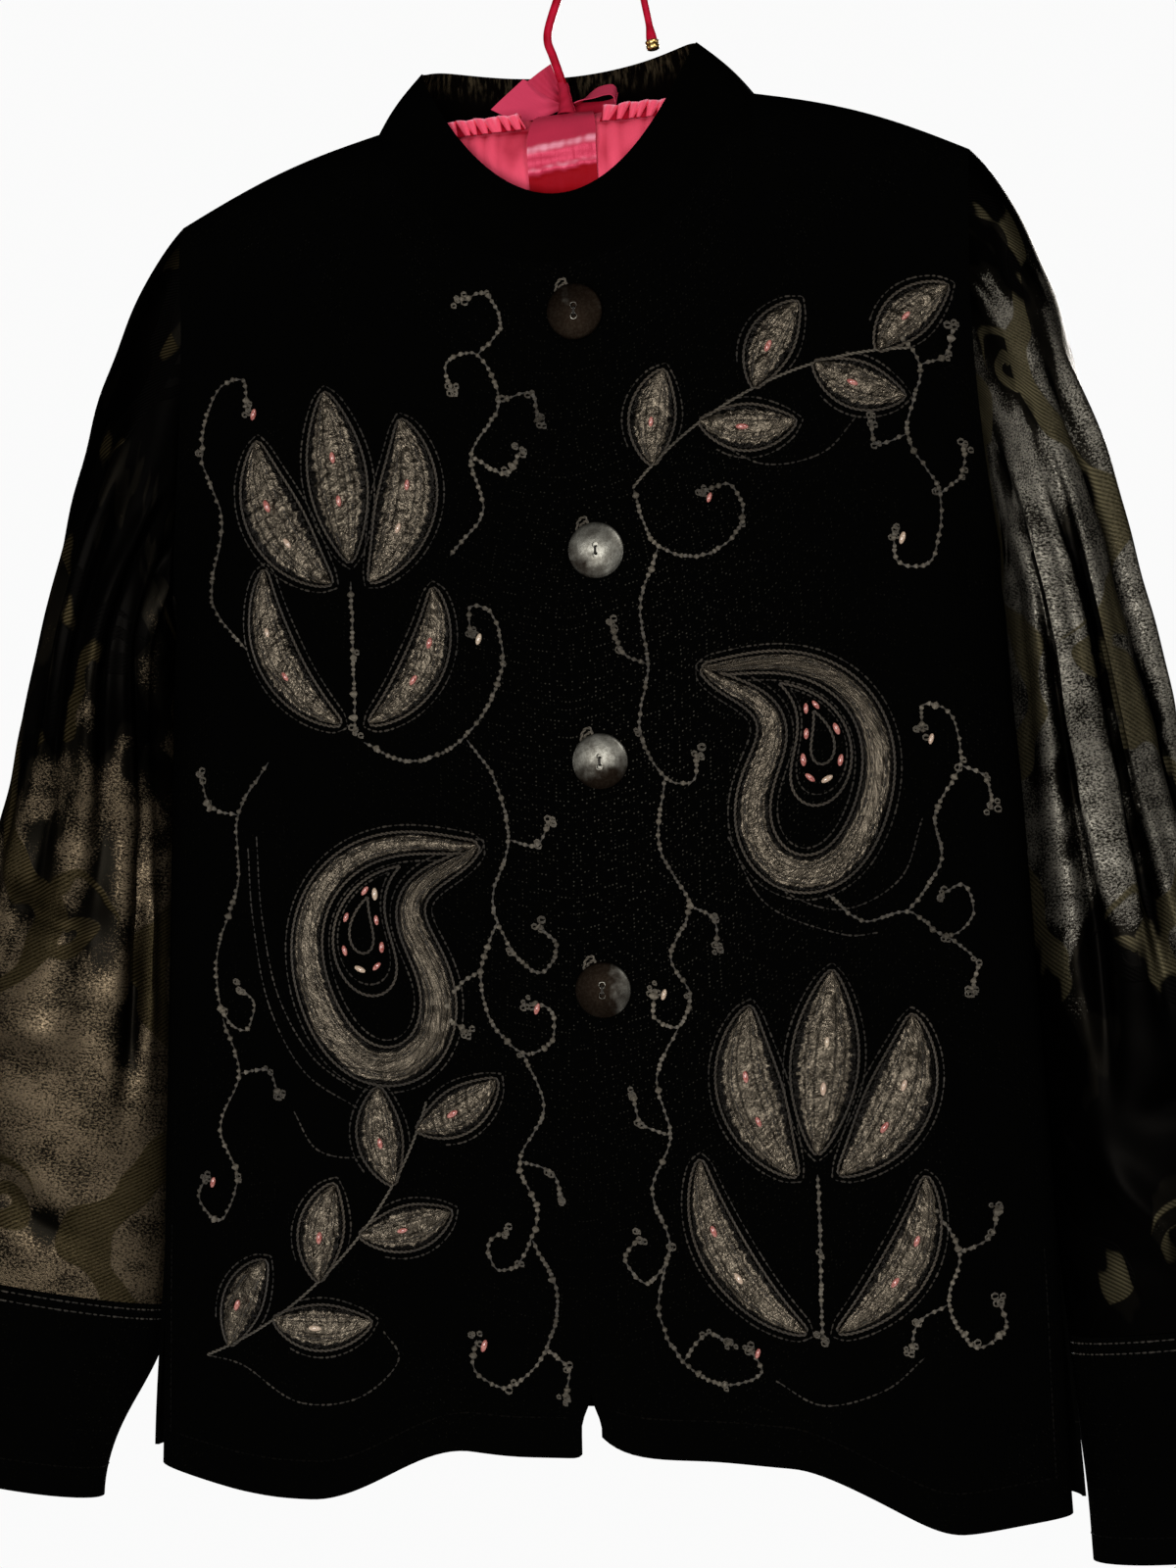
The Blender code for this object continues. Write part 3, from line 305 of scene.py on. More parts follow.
# Unit normals of a grid, turned to the side that the given directions point to.
def gridNormals(grid, outward, closed=False):
    if closed:
        across = np.roll(grid, -1, axis=1) - np.roll(grid, 1, axis=1)
    else:
        across = np.gradient(grid, axis=1)
    normals = unit(np.cross(across, np.gradient(grid, axis=0)))
    turn = np.sign(np.sum(normals * outward, axis=-1, keepdims=True))
    return normals * np.where(turn == 0.0, 1.0, turn)


# Normals of a grid of closed rings, turned away from each ring's middle.
def tubeNormals(grid):
    return gridNormals(grid, grid - grid.mean(axis=1, keepdims=True), closed=True)


# Normals of a body panel; along its shoulder and side seams they lie in the middle plane.
def panelNormals(grid, panel):
    outward = np.zeros_like(grid)
    outward[..., 1] = 1.0 if panel == "back" else -1.0
    outward[..., 0] = body["sideTurn"] * np.sign(grid[..., 0])
    normals = gridNormals(grid, outward)
    reach = np.abs(grid[..., 0])
    onSide = (reach >= panelX(grid[..., 2], panel) - 1e-6) & (grid[..., 2] <= body["underarmZ"] + 1e-6)
    sideways = np.zeros_like(grid)
    sideways[..., 0] = np.sign(grid[..., 0])
    normals[onSide] = sideways[onSide]
    upward = np.zeros_like(grid[:1])
    slope = (shoulderLine(reach[:1]) - shoulderLine(reach[:1] + 1e-4)) / 1e-4
    upward[..., 0] = np.sign(grid[:1, :, 0]) * slope
    upward[..., 2] = 1.0
    onShoulder = reach[:1] >= body["neckHalf"] - 1e-6
    normals[:1][onShoulder] = upward[onShoulder]
    return unit(normals)


# A point on a front's outer face at hung x and z, and the face's normal there, both in the hung shape.
def onFront(flat, lift=0.0):
    x, z = flat[..., 0], flat[..., 1]
    step = 0.0008

    def face(dx, dz):
        return stacked(x + dx, panelY(x + dx, unhang(x + dx, z + dz), "front"), z + dz)

    across, down = face(step, 0.0) - face(-step, 0.0), face(0.0, step) - face(0.0, -step)
    normals = unit(np.cross(across, down))
    normals = normals * -np.sign(normals[..., 1:2])
    return face(0.0, 0.0) + np.asarray(lift)[..., None] * normals, normals


# Quads between neighbouring rows and columns of an index grid.
def gridQuads(index, closed):
    following = np.roll(index, -1, axis=1)
    if not closed:
        index, following = index[:, :-1], following[:, :-1]
    return stacked(index[:-1], following[:-1], following[1:], index[1:]).reshape(-1, 4)


# All faces are turned round together if they enclose a negative volume.
def turnOut(points, quads):
    corner = points[quads]
    volume = np.sum(corner[:, 0] * np.cross(corner[:, 1], corner[:, 2]))
    volume += np.sum(corner[:, 0] * np.cross(corner[:, 2], corner[:, 3]))
    return quads if volume > 0 else quads[:, ::-1]


# Points and quads of a grid whose rows are closed rings.
def ringMesh(grid):
    index = np.arange(grid.shape[0] * grid.shape[1]).reshape(grid.shape[:2])
    points = grid.reshape(-1, 3)
    return points, turnOut(points, gridQuads(index, True))


# A closed shell between an outer and an inner grid: points, quads, marks of both faces, cut coordinates.
def shell(outer, inner, shade, inside, cut, closed=False):
    rows, columns = outer.shape[:2]
    outIndex = np.arange(rows * columns).reshape(rows, columns)
    inIndex = outIndex + rows * columns
    edges = [(inIndex[0], outIndex[0]), (outIndex[-1], inIndex[-1])]
    if not closed:
        edges += [(outIndex[:, 0], inIndex[:, 0]), (inIndex[:, -1], outIndex[:, -1])]
    parts = [gridQuads(outIndex, closed), gridQuads(inIndex, closed)[:, ::-1]]
    parts += [gridQuads(np.stack(edge), closed) for edge in edges]
    points = np.concatenate((outer.reshape(-1, 3), inner.reshape(-1, 3)))
    marks = np.concatenate((shade.ravel(), inside.ravel()))
    return points, turnOut(points, np.concatenate(parts)), marks, np.tile(cut.reshape(-1, 2), (2, 1))


# Cut coordinates in metres: the way travelled along each row, and along each column.
def cutGrid(grid):
    across = np.pad(np.cumsum(stepLengths(grid, 1), axis=1), ((0, 0), (1, 0)))
    down = np.pad(np.cumsum(stepLengths(grid, 0), axis=0), ((1, 0), (0, 0)))
    return stacked(across, down)


# Rings that have shrunk to one point become one vertex, which closes the poles.
def weldPoles(mesh):
    work = bmesh.new()
    work.from_mesh(mesh)
    bmesh.ops.remove_doubles(work, verts=work.verts, dist=1e-6)
    work.to_mesh(mesh)
    work.free()


# A mesh straight from points and quads, with its poles closed.
def plainMesh(name, points, quads):
    mesh = bpy.data.meshes.new(name)
    mesh.from_pydata(points.tolist(), [], quads.tolist())
    weldPoles(mesh)
    return mesh


# A new object of the scene.
def newObject(name, data):
    made = bpy.data.objects.new(name, data)
    bpy.context.scene.collection.objects.link(made)
    return made


# A piece on the jacket's one body, from points, quads and, where it has them, marks and cut coordinates.
def newPiece(name, parts, finish):
    points, quads, marks, cut = (*parts, None, None)[:4]
    mesh = bpy.data.meshes.new(name)
    placed = np.asarray(points, dtype=np.float32) + np.array((centreX, 0.0, 0.0), dtype=np.float32)
    mesh.vertices.add(len(placed))
    mesh.vertices.foreach_set("co", placed.ravel())
    mesh.loops.add(quads.size)
    mesh.loops.foreach_set("vertex_index", quads.ravel().astype(np.int32))
    mesh.polygons.add(len(quads))
    mesh.polygons.foreach_set("loop_start", np.arange(0, quads.size, 4, dtype=np.int32))
    if cut is not None:
        laid = cut[quads]
        widest = laid[..., 0].max(axis=1, keepdims=True)
        # Where a tube's seam closes, the cut goes on past its last column.
        beyond = widest - laid[..., 0] > cloth["seamJump"]
        laid[..., 0] = np.where(beyond, widest + cloth["seamStep"], laid[..., 0])
        mesh.uv_layers.new(name="cut").data.foreach_set("uv", laid.astype(np.float32).ravel())
    if marks is not None:
        mesh.attributes.new("mark", "FLOAT", "POINT").data.foreach_set("value", marks.astype(np.float32))
    mesh.update(calc_edges=True)
    mesh.validate()
    weldPoles(mesh)
    mesh.shade_smooth()
    mesh.set_sharp_from_angle(angle=math.radians(cloth["sharpTurn"]))
    mesh.materials.append(finishes[finish].material)
    piece = newObject(name, mesh)
    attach(piece, "root")
    return piece


# Several meshes as one: points, quads, and what else each of them has.
def joined(parts):
    counts = np.cumsum([0] + [len(part[0]) for part in parts])
    points = np.concatenate([part[0] for part in parts])
    quads = np.concatenate([part[1] + count for part, count in zip(parts, counts)])
    extras = [np.concatenate(column) for column in zip(*[part[2:] for part in parts])]
    return (points, quads, *extras)


# A colour gets its alpha; a wire stays as it is.
def opaque(value):
    return (*value, 1.0) if isinstance(value, tuple) else value


# An operator on wires and its reflected form: each use adds a Math node.
def bothWays(operation):
    def forward(self, other):
        return self.maths(operation, self, other)

    def reflected(self, other):
        return self.maths(operation, other, self)

    return forward, reflected


# A node socket that works like a number in shader formulas.
class Wire:
    __add__, __radd__ = bothWays("ADD")
    __sub__, __rsub__ = bothWays("SUBTRACT")
    __mul__, __rmul__ = bothWays("MULTIPLY")
    __truediv__, __rtruediv__ = bothWays("DIVIDE")

    def __init__(self, tree, socket=None):
        self.tree, self.socket = tree, socket

    # Any node: its type, its settings, its inputs by name or number, and which output to give.
    def node(self, kind, settings=None, inputs=None, out=0):
        made = self.tree.nodes.new(kind)
        for key, value in (settings or {}).items():
            setattr(made, key, value)
        for key, value in (inputs or {}).items():
            if isinstance(value, Wire):
                self.tree.links.new(value.socket, made.inputs[key])
            else:
                made.inputs[key].default_value = value
        return Wire(self.tree, made.outputs[out])

    def maths(self, operation, *values):
        return self.node("ShaderNodeMath", {"operation": operation}, dict(enumerate(values)))

    def sin(self):
        return self.maths("SINE", self)

    def fraction(self):
        return self.maths("FRACT", self)

    def size(self):
        return self.maths("ABSOLUTE", self)

    # Soft step from 0 at low to 1 at high.
    def step(self, low, high):
        settings = {"interpolation_type": "SMOOTHSTEP", "clamp": True}
        return self.node("ShaderNodeMapRange", settings, {0: self, 1: low, 2: high, 3: 0.0, 4: 1.0})

    # Blend of two colours or wires by this factor.
    def mix(self, low, high):
        inputs = {0: self, 6: opaque(low), 7: opaque(high)}
        return self.node("ShaderNodeMix", {"data_type": "RGBA"}, inputs, 2)

    # Blotchy noise of a given grain in metres at this position.
    def noise(self, grain, detail=3.0, rough=0.55):
        inputs = {"Vector": self, "Scale": 1.0 / grain, "Detail": detail, "Roughness": rough}
        return self.node("ShaderNodeTexNoise", None, inputs)

    def scaled(self, x, y, z=1.0):
        return self.node("ShaderNodeVectorMath", {"operation": "MULTIPLY"}, {0: self, 1: (x, y, z)})

    def parts(self):
        made = self.tree.nodes.new("ShaderNodeSeparateXYZ")
        self.tree.links.new(self.socket, made.inputs[0])
        return [Wire(self.tree, made.outputs[axis]) for axis in range(3)]


# A material with constants on its shader, a wire to start formulas from, and a way to feed its inputs.
class Finish:
    def __init__(self, name, **constants):
        self.material = bpy.data.materials.new(name)
        self.material.use_nodes = True
        self.tree = self.material.node_tree
        self.shader = self.tree.nodes["Principled BSDF"]
        for key, value in constants.items():
            self.shader.inputs[key.replace("_", " ")].default_value = opaque(value)
        self.start = Wire(self.tree)

    def feed(self, name, wire):
        self.tree.links.new(wire.socket, self.shader.inputs[name])

    def cut(self):
        return self.start.node("ShaderNodeUVMap", {"uv_map": "cut"})

    def mark(self):
        return self.start.node("ShaderNodeAttribute", {"attribute_name": "mark"}, None, 2)

    def place(self):
        return self.start.node("ShaderNodeTexCoord", None, None, 3)

    def bump(self, height, distance, strength=1.0):
        inputs = {"Height": height, "Distance": distance, "Strength": strength}
        self.feed("Normal", self.start.node("ShaderNodeBump", None, inputs))


# Black plain weave: crossing yarns with slubs, and here and there a pale fibre where two yarns cross. The
# mark brings out more fibres and, as far as the ridge value says, lifts the ground's tone as painted light.
def linenFinish(name, ridge):
    finish = Finish(name, Roughness=0.95, Specular_IOR_Level=0.004)
    cut = finish.cut()
    pitch = 0.0020
    wobble = cut.noise(0.012, 2.0) * 0.5
    across, down, _ = cut.parts()
    warp = ((across / pitch + wobble) * 2 * math.pi).sin() * 0.5 + 0.5
    weft = ((down / pitch + wobble) * 2 * math.pi).sin() * 0.5 + 0.5
    slub = cut.scaled(1.0, 0.15).noise(0.0022, 2.0) + cut.scaled(0.15, 1.0).noise(0.0022, 2.0)
    chance = cut.noise(0.0026, 1.0, 0.5).step(0.52, 0.66)
    broad = cut.noise(0.06, 2.0).step(0.42, 0.70)
    speck = (warp * weft).step(0.55, 0.90) * chance * (broad * 0.07 + finish.mark() * 0.75)
    # Painted light: on the back the mark lifts the ground's tone along the ridges.
    ground = (finish.mark() * ridge).mix((0.0008, 0.0008, 0.0007), (0.014, 0.0131, 0.0114))
    finish.feed("Base Color", speck.mix(ground, (0.070, 0.064, 0.050)))
    finish.bump(warp * weft + slub * 0.5, 0.0004, 0.6)
    return finish


# Satin jacquard: olive twill scrolls, curls and eyes on a speckled ground. The mark is painted shade: as it
# rises, first the ground loses its shine and then the figure goes black; blotches break up the dark
# stretches.
def jacquardFinish(name, shine, low, high):
    finish = Finish(name, Metallic=0.88, Specular_IOR_Level=0.08, Specular_Tint=(0.16, 0.145, 0.12))
    cut, trough = finish.cut(), finish.mark()
    blotch = cut.scaled(1.0, 0.45).noise(0.026, 2.0)
    uneven = trough * (0.30 + blotch.step(0.38, 0.60) * 0.80) + (blotch - 0.5) * 0.7
    dim, black = uneven.step(0.0, 0.62), uneven.step(0.54, 0.90)
    tileWide, tileHigh = 0.113, 0.150
    moved = cut.node("ShaderNodeVectorMath", {"operation": "ADD"}, {0: cut, 1: (0.31, 0.17, 0.0)})
    swayP, swayQ = cut.noise(0.045, 1.0) - 0.5, moved.noise(0.045, 1.0) - 0.5
    across, down, _ = cut.parts()
    column = across.maths("FLOOR", across / tileWide)
    p = ((across / tileWide).fraction() - 0.5) * tileWide + swayP * 0.040
    q = ((down / tileHigh + column * 0.5).fraction() - 0.5) * tileHigh + swayQ * 0.040
    bend = (q * (2 * math.pi / tileHigh)).sin() * 0.024
    stem = 1.0 - ((p - bend + 0.010).size() + swayQ * 0.018).step(0.0105, 0.0120)
    curlP, curlQ = p - 0.028, q - 0.030
    reach = curlP.maths("SQRT", curlP * curlP + curlQ * curlQ)
    turn = curlP.maths("ARCTAN2", curlQ, curlP) / (2 * math.pi)
    winding = ((reach / 0.019 - turn).fraction() - 0.5).size()
    curl = (1.0 - winding.step(0.22, 0.29)) * (1.0 - reach.step(0.022, 0.024))
    eyeP, eyeQ = (p + 0.034) / 0.0080, (q + 0.044) / 0.0125
    eyeReach = eyeP * eyeP + eyeQ * eyeQ + eyeP * eyeQ * 0.6
    eye = (1.0 - eyeReach.step(0.85, 1.10)) * eyeReach.step(0.16, 0.30)
    figure = stem.maths("MAXIMUM", stem.maths("MAXIMUM", stem, curl), eye)
    twill = ((across * 0.6 + down + swayP * 0.004) * (2 * math.pi / 0.0023)).sin() * 0.5 + 0.5
    patchy = cut.scaled(0.6, 1.0).noise(0.016, 3.0) - 0.5
    speck = (cut.scaled(0.7, 1.0).noise(0.0011, 4.0, 0.8) + patchy * 0.30 - dim * 0.24).step(0.40, 0.60)
    ground = speck.mix((0.0035, 0.0030, 0.0022), shine)
    olive = (twill * 0.55 + speck * 0.45).mix(low, high)
    lit = figure.mix(ground, olive)
    # Painted shade: where the mark is high, the colour goes nearly black.
    finish.feed("Base Color", black.mix(lit, (0.0010, 0.0009, 0.0008)))
    finish.feed("Roughness", 0.38 + figure * 0.10 - speck * 0.03)
    finish.bump(figure * twill * 0.5 + speck * 0.5 + figure * 0.6, 0.0003, 0.4)
    return finish


# Grey-brown satin of the patches: grainy and pale along the middle, darkened by painted shade towards the
# sewn edge.
def patchFinish():
    finish = Finish("patch_satin", Metallic=0.85, Specular_IOR_Level=0.2)
    cut, edge = finish.cut(), finish.mark()
    speck = cut.scaled(1.0, 0.6).noise(0.0010, 2.0, 0.6).step(0.26, 0.74)
    blotch = cut.noise(0.0065, 3.0).step(0.30, 0.68)
    # Painted shade, made ragged by noise, darkens the satin towards its sewn edge.
    edgeTone = (edge * 1.3 + cut.noise(0.0030, 2.0) * 1.1 - 0.75).step(0.25, 0.60)
    satin = (speck * 0.55 + blotch * 0.45).mix((0.018, 0.0145, 0.0103), (0.192, 0.158, 0.115))
    # Two dark sewn contours follow the edge.
    outerRow = (edge - 0.24).size().step(0.025, 0.085)
    innerRow = (edge - 0.030).size().step(0.006, 0.022)
    sewn = (1.0 - outerRow * innerRow) * (0.55 + speck * 0.45)
    dark = edgeTone * 0.94 + sewn * 0.80
    finish.feed("Base Color", dark.step(0.0, 1.0).mix(satin, (0.004, 0.0034, 0.0027)))
    finish.feed("Roughness", 0.25 + blotch * 0.12)
    finish.bump(speck * 0.5 + blotch * 3.0, 0.0006, 0.6)
    return finish


# Twisted or knotted thread: paler on its raised strands, a painted highlight, and darker between them,
# painted shade.
def cordFinish(name, low, high, gloss=0.3):
    finish = Finish(name, Roughness=0.6, Specular_IOR_Level=gloss)
    place, paintedCrestLight = finish.place(), finish.mark()
    grain = place.noise(0.0012, 2.0)
    faded = place.noise(0.05, 2.0).step(0.30, 0.70) * 0.6 + 0.4
    finish.feed("Base Color", (paintedCrestLight * grain * 1.8 * faded).mix(low, high))
    finish.bump(grain, 0.0002, 0.6)
    return finish


# Pink and ivory glass: each bead keeps its own tone, with a paler core.
def beadFinish():
    finish = Finish("beads", Roughness=0.14, Specular_IOR_Level=0.7, Coat_Weight=0.4, Coat_Roughness=0.08)
    tone, cloud = finish.mark(), finish.place().noise(0.0015, 2.0).step(0.3, 0.7)
    pink = cloud.mix((0.30, 0.075, 0.062), (0.52, 0.21, 0.17))
    finish.feed("Base Color", tone.mix(pink, (0.50, 0.39, 0.28)))
    return finish


# Mottled pewter: cloudy grey with brown pitted stains and painted shade where the mark is high, and fine
# scratches.
def buttonFinish():
    finish = Finish("button_pewter", Metallic=0.9, Specular_IOR_Level=0.2)
    place, stainedAndShaded = finish.place(), finish.mark()
    cloud = place.noise(0.005, 4.0).step(0.28, 0.70)
    pits = place.noise(0.0014, 3.0, 0.6).step(0.44, 0.62)
    stainAndShade = (stainedAndShaded + place.noise(0.006, 3.0) * 1.1 - 0.75).step(-0.10, 0.80)
    grey = cloud.mix((0.095, 0.089, 0.074), (0.205, 0.197, 0.168))
    dull = stainAndShade.mix(grey, (0.0060, 0.0033, 0.0016))
    finish.feed("Base Color", (pits * 0.25).mix(dull, (0.020, 0.015, 0.010)))
    finish.feed("Roughness", 0.36 + stainAndShade * 0.16)
    finish.bump(cloud + pits * 0.5, 0.0003, 0.08)
    return finish


# Pink satin with long threads: deeper red as the mark rises, which is painted shade where light doesn't
# reach and, on the bow's knot, the wrap's own red; and paler where the mark is below zero, a painted
# highlight.
def satinFinish(name, pale, deep, rough, grainX, grainZ):
    finish = Finish(name, Specular_IOR_Level=0.45, Specular_Tint=(1.0, 0.18, 0.30))
    cut, shade = finish.cut(), finish.mark()
    thread = cut.scaled(grainX, grainZ).noise(0.0016, 2.0, 0.6)
    cloud = cut.noise(0.012, 3.0)
    tone = shade * 0.9 + (cloud - 0.5) * 0.35
    dyeAndShade = tone.step(0.0, 1.0).mix(pale, deep)
    # Painted highlight where the mark is below zero.
    finish.feed("Base Color", (0.0 - tone).step(0.06, 0.70).mix(dyeAndShade, (0.92, 0.34, 0.44)))
    finish.feed("Roughness", rough + thread * 0.12 + shade.step(0.0, 1.0) * 0.38)
    finish.bump(thread + cloud * 2.0, 0.0003, 0.45)
    return finish


# Crimson plastic tube on the wire, slightly cloudy, with fine lengthwise rubs.
def tubeFinish():
    finish = Finish("crimson_tube", Specular_IOR_Level=0.4, Specular_Tint=(1.0, 0.25, 0.40))
    place = finish.place()
    cloud = place.noise(0.008, 3.0).step(0.3, 0.7)
    finish.feed("Base Color", cloud.mix((0.32, 0.001, 0.009), (0.50, 0.003, 0.024)))
    finish.feed("Roughness", 0.36 + cloud * 0.16)
    finish.bump(place.noise(0.002, 2.0), 0.0002, 0.3)
    return finish


# Gold-coloured cap, rubbed in places.
def goldFinish():
    finish = Finish("gold_cap", Metallic=1.0)
    rub = finish.place().noise(0.002, 3.0).step(0.35, 0.7)
    finish.feed("Base Color", rub.mix((0.55, 0.34, 0.09), (0.85, 0.60, 0.24)))
    finish.feed("Roughness", 0.22 + rub * 0.2)
    return finish


# Collar cloth: black weave, with a brown brushed facing inside that has paler brown streaks at the top edge.
def collarFinish():
    finish = Finish("collar_linen", Roughness=0.95, Specular_IOR_Level=0.004)
    cut, inside = finish.cut(), finish.mark()
    across, down, _ = cut.parts()
    streak = cut.scaled(1.0, 0.22).noise(0.0030, 3.0, 0.65).step(0.46, 0.68)
    # Paler brown streaks near the facing's top edge.
    edgeTone = inside * streak * (1.0 - down.step(0.003, 0.016))
    weave = ((across * (2 * math.pi / 0.0014)).sin() * (down * (2 * math.pi / 0.0014)).sin()) * 0.5 + 0.5
    black = (inside * 0.7).mix((0.0007, 0.0007, 0.0006), (0.0016, 0.0010, 0.0008))
    finish.feed("Base Color", edgeTone.mix(black, (0.040, 0.030, 0.017)))
    finish.bump(weave + streak, 0.0004, 0.5)
    return finish


finishes = dict(
    linen=linenFinish("black_linen", 0.0), rear=linenFinish("rear_linen_ridge_light", 1.0),
    patch=patchFinish(), collar=collarFinish(),
    jacquard_right=jacquardFinish(
        "brown_jacquard", (0.112, 0.084, 0.052), (0.004, 0.003, 0.001), (0.045, 0.034, 0.017)
    ),
    jacquard_left=jacquardFinish(
        "grey_jacquard", (0.168, 0.154, 0.126), (0.016, 0.0135, 0.0070), (0.080, 0.067, 0.038)
    ),
    cord=cordFinish("couched_cord", (0.006, 0.005, 0.004), (0.100, 0.080, 0.057)),
    vine=cordFinish("knotted_cord", (0.008, 0.0065, 0.0048), (0.170, 0.145, 0.108)),
    thread=cordFinish("sewing_thread", (0.004, 0.0035, 0.003), (0.060, 0.050, 0.038)),
    darkThread=cordFinish("quiet_thread", (0.0010, 0.0009, 0.0008), (0.0040, 0.0034, 0.0026), 0.02),
    bead=beadFinish(), button=buttonFinish(), tube=tubeFinish(), gold=goldFinish(),
    pad=satinFinish("pad_satin", (0.86, 0.085, 0.150), (0.30, 0.001, 0.010), 0.42, 0.25, 1.0),
    ribbon=satinFinish("ribbon_satin", (0.54, 0.032, 0.074), (0.30, 0.0001, 0.001), 0.24, 0.1, 1.0),
    bow=satinFinish("bow_ribbon", (0.62, 0.050, 0.110), (0.32, 0.003, 0.016), 0.48, 1.0, 0.4),
)
print("finishes made")


# A cloth piece from an outer and an inner grid in the hung shape. The seam of a tube lies on its inner line,
# and its cut is measured from its outer line and its lower edge.
def clothPiece(name, outer, inner, finish, closed=False, shade=None, inside=1.0):
    half = outer.shape[1] // 2
    shade = np.zeros(outer.shape[:2]) if shade is None else shade
    if closed:
        outer, inner, shade = (np.roll(grid, half, axis=1) for grid in (outer, inner, shade))
    cut = cutGrid(outer)
    cut[..., 0] -= cut[:, half : half + 1, 0]
    if closed:
        cut[..., 1] -= cut[-1:, :, 1]
    parts = shell(outer, inner, shade, np.full(shade.shape, inside), cut, closed)
    return newPiece(name, parts, finish)


# A body panel: its outer grid, and the same moved in by the cloth's thickness. On the fronts more pale fibre
# specks show round one spot; on the back, more specks and painted light follow its folds and creases.
def makePanel(name, grid, panel):
    inner = grid - cloth["wall"] * panelNormals(grid, panel)
    x, z = grid[..., 0], grid[..., 2]
    # The fronts show more pale fibre specks round one spot.
    specksAndRidgeLight = bell((x - body["speckX"]) / body["speckWide"]) * bell((z - body["speckZ"]) / body["speckHigh"])
    if panel == "back":
        # Painted light and more specks along the ridges of the back's folds and creases.
        paintedCrestLight = body["rearFoldLight"] * panelFolds(x, z, panel)
        paintedCrestLight = paintedCrestLight + body["rearCreaseLight"] * creases(x, z, bodyCreases[panel])
        middle = smooth((body["rearLightHalf"] - np.abs(x)) / body["rearLightFade"])
        specksAndRidgeLight = limited(body["rearLightBase"] + paintedCrestLight) * middle
    finish = "rear" if panel == "back" else "linen"
    piece = clothPiece(name, hang(grid), hang(inner), finish, shade=specksAndRidgeLight, inside=0.0)
    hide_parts(name.replace("cloth_", ""))


# Two fronts, and a back whose halves share the middle column.
def makeBody():
    for name, side in sides.items():
        makePanel("cloth_front_" + name, halfPanel(side, "front"), "front")
    rear = np.concatenate((halfPanel(-1, "back")[:, :0:-1], halfPanel(1, "back")), axis=1)
    makePanel("cloth_back", rear, "back")


sleeve = dict(
    topZ=-0.345, cuffZ=-0.686, hemZ=-0.796, outerX={-1: 0.2915, 1: 0.2830}, outerSlope={-1: 0.314, 1: 0.278},
    clear=0.001, tuck=0.002, back=0.013, settle=0.1, swing={-1: 0.034, 1: 0.003}, tilt=0.15,
    depth=((-0.345, 0.046), (-0.500, 0.041), (-0.686, 0.031), (-0.800, 0.027)),
    capRun=(0.072, -0.070), capPull=0.78, capBulge=0.5, foldTopZ=-0.1335, foldTopRun=0.06, foldLowRun=0.14,
    lean=0.0028, leanZ=-0.27, leanRun=0.05, leanTurn=26.0, creaseGain=1.9, calmTurn=12.0, calmRun=24.0,
    ripple=0.0004, ripplePitch=0.05, cuffRipple=0.0007, cuffRipplePitch=0.09, cuffEase=5.0, ease=(8.0, 12.0),
    girth=0.34, sides=192, capSteps=44, steps=92, cuffSteps=24, below=0.01,
    # Painted shade at levels from the shoulder down; then what creases and large folds add to it as painted
    # shade or take away as painted light.
    shade={
        -1: ((-0.16, 2.6), (-0.24, 2.0), (-0.34, 1.2), (-0.45, 0.0)),
        1: ((-0.13, 2.6), (-0.20, 0.0), (-0.49, 0.0), (-0.55, 2.6)),
    },
    troughDepth=0.0085, ridgeHeight=0.012, ridgeLight=0.4, foldShare=0.14, foldShade=0.55, darkest=3.0,
)
# Large sleeve folds: angle from the outer side through the front, half width, share of the radius, z of the
# lower end.
sleeveFoldRows = (
    (34, 11, 0.11, -0.62), (72, 12, 0.15, -0.56), (112, 12, 0.13, -0.60), (150, 10, 0.08, -0.52),
    (214, 12, 0.11, -0.58), (262, 13, 0.14, -0.64), (314, 12, 0.12, -0.55),
)
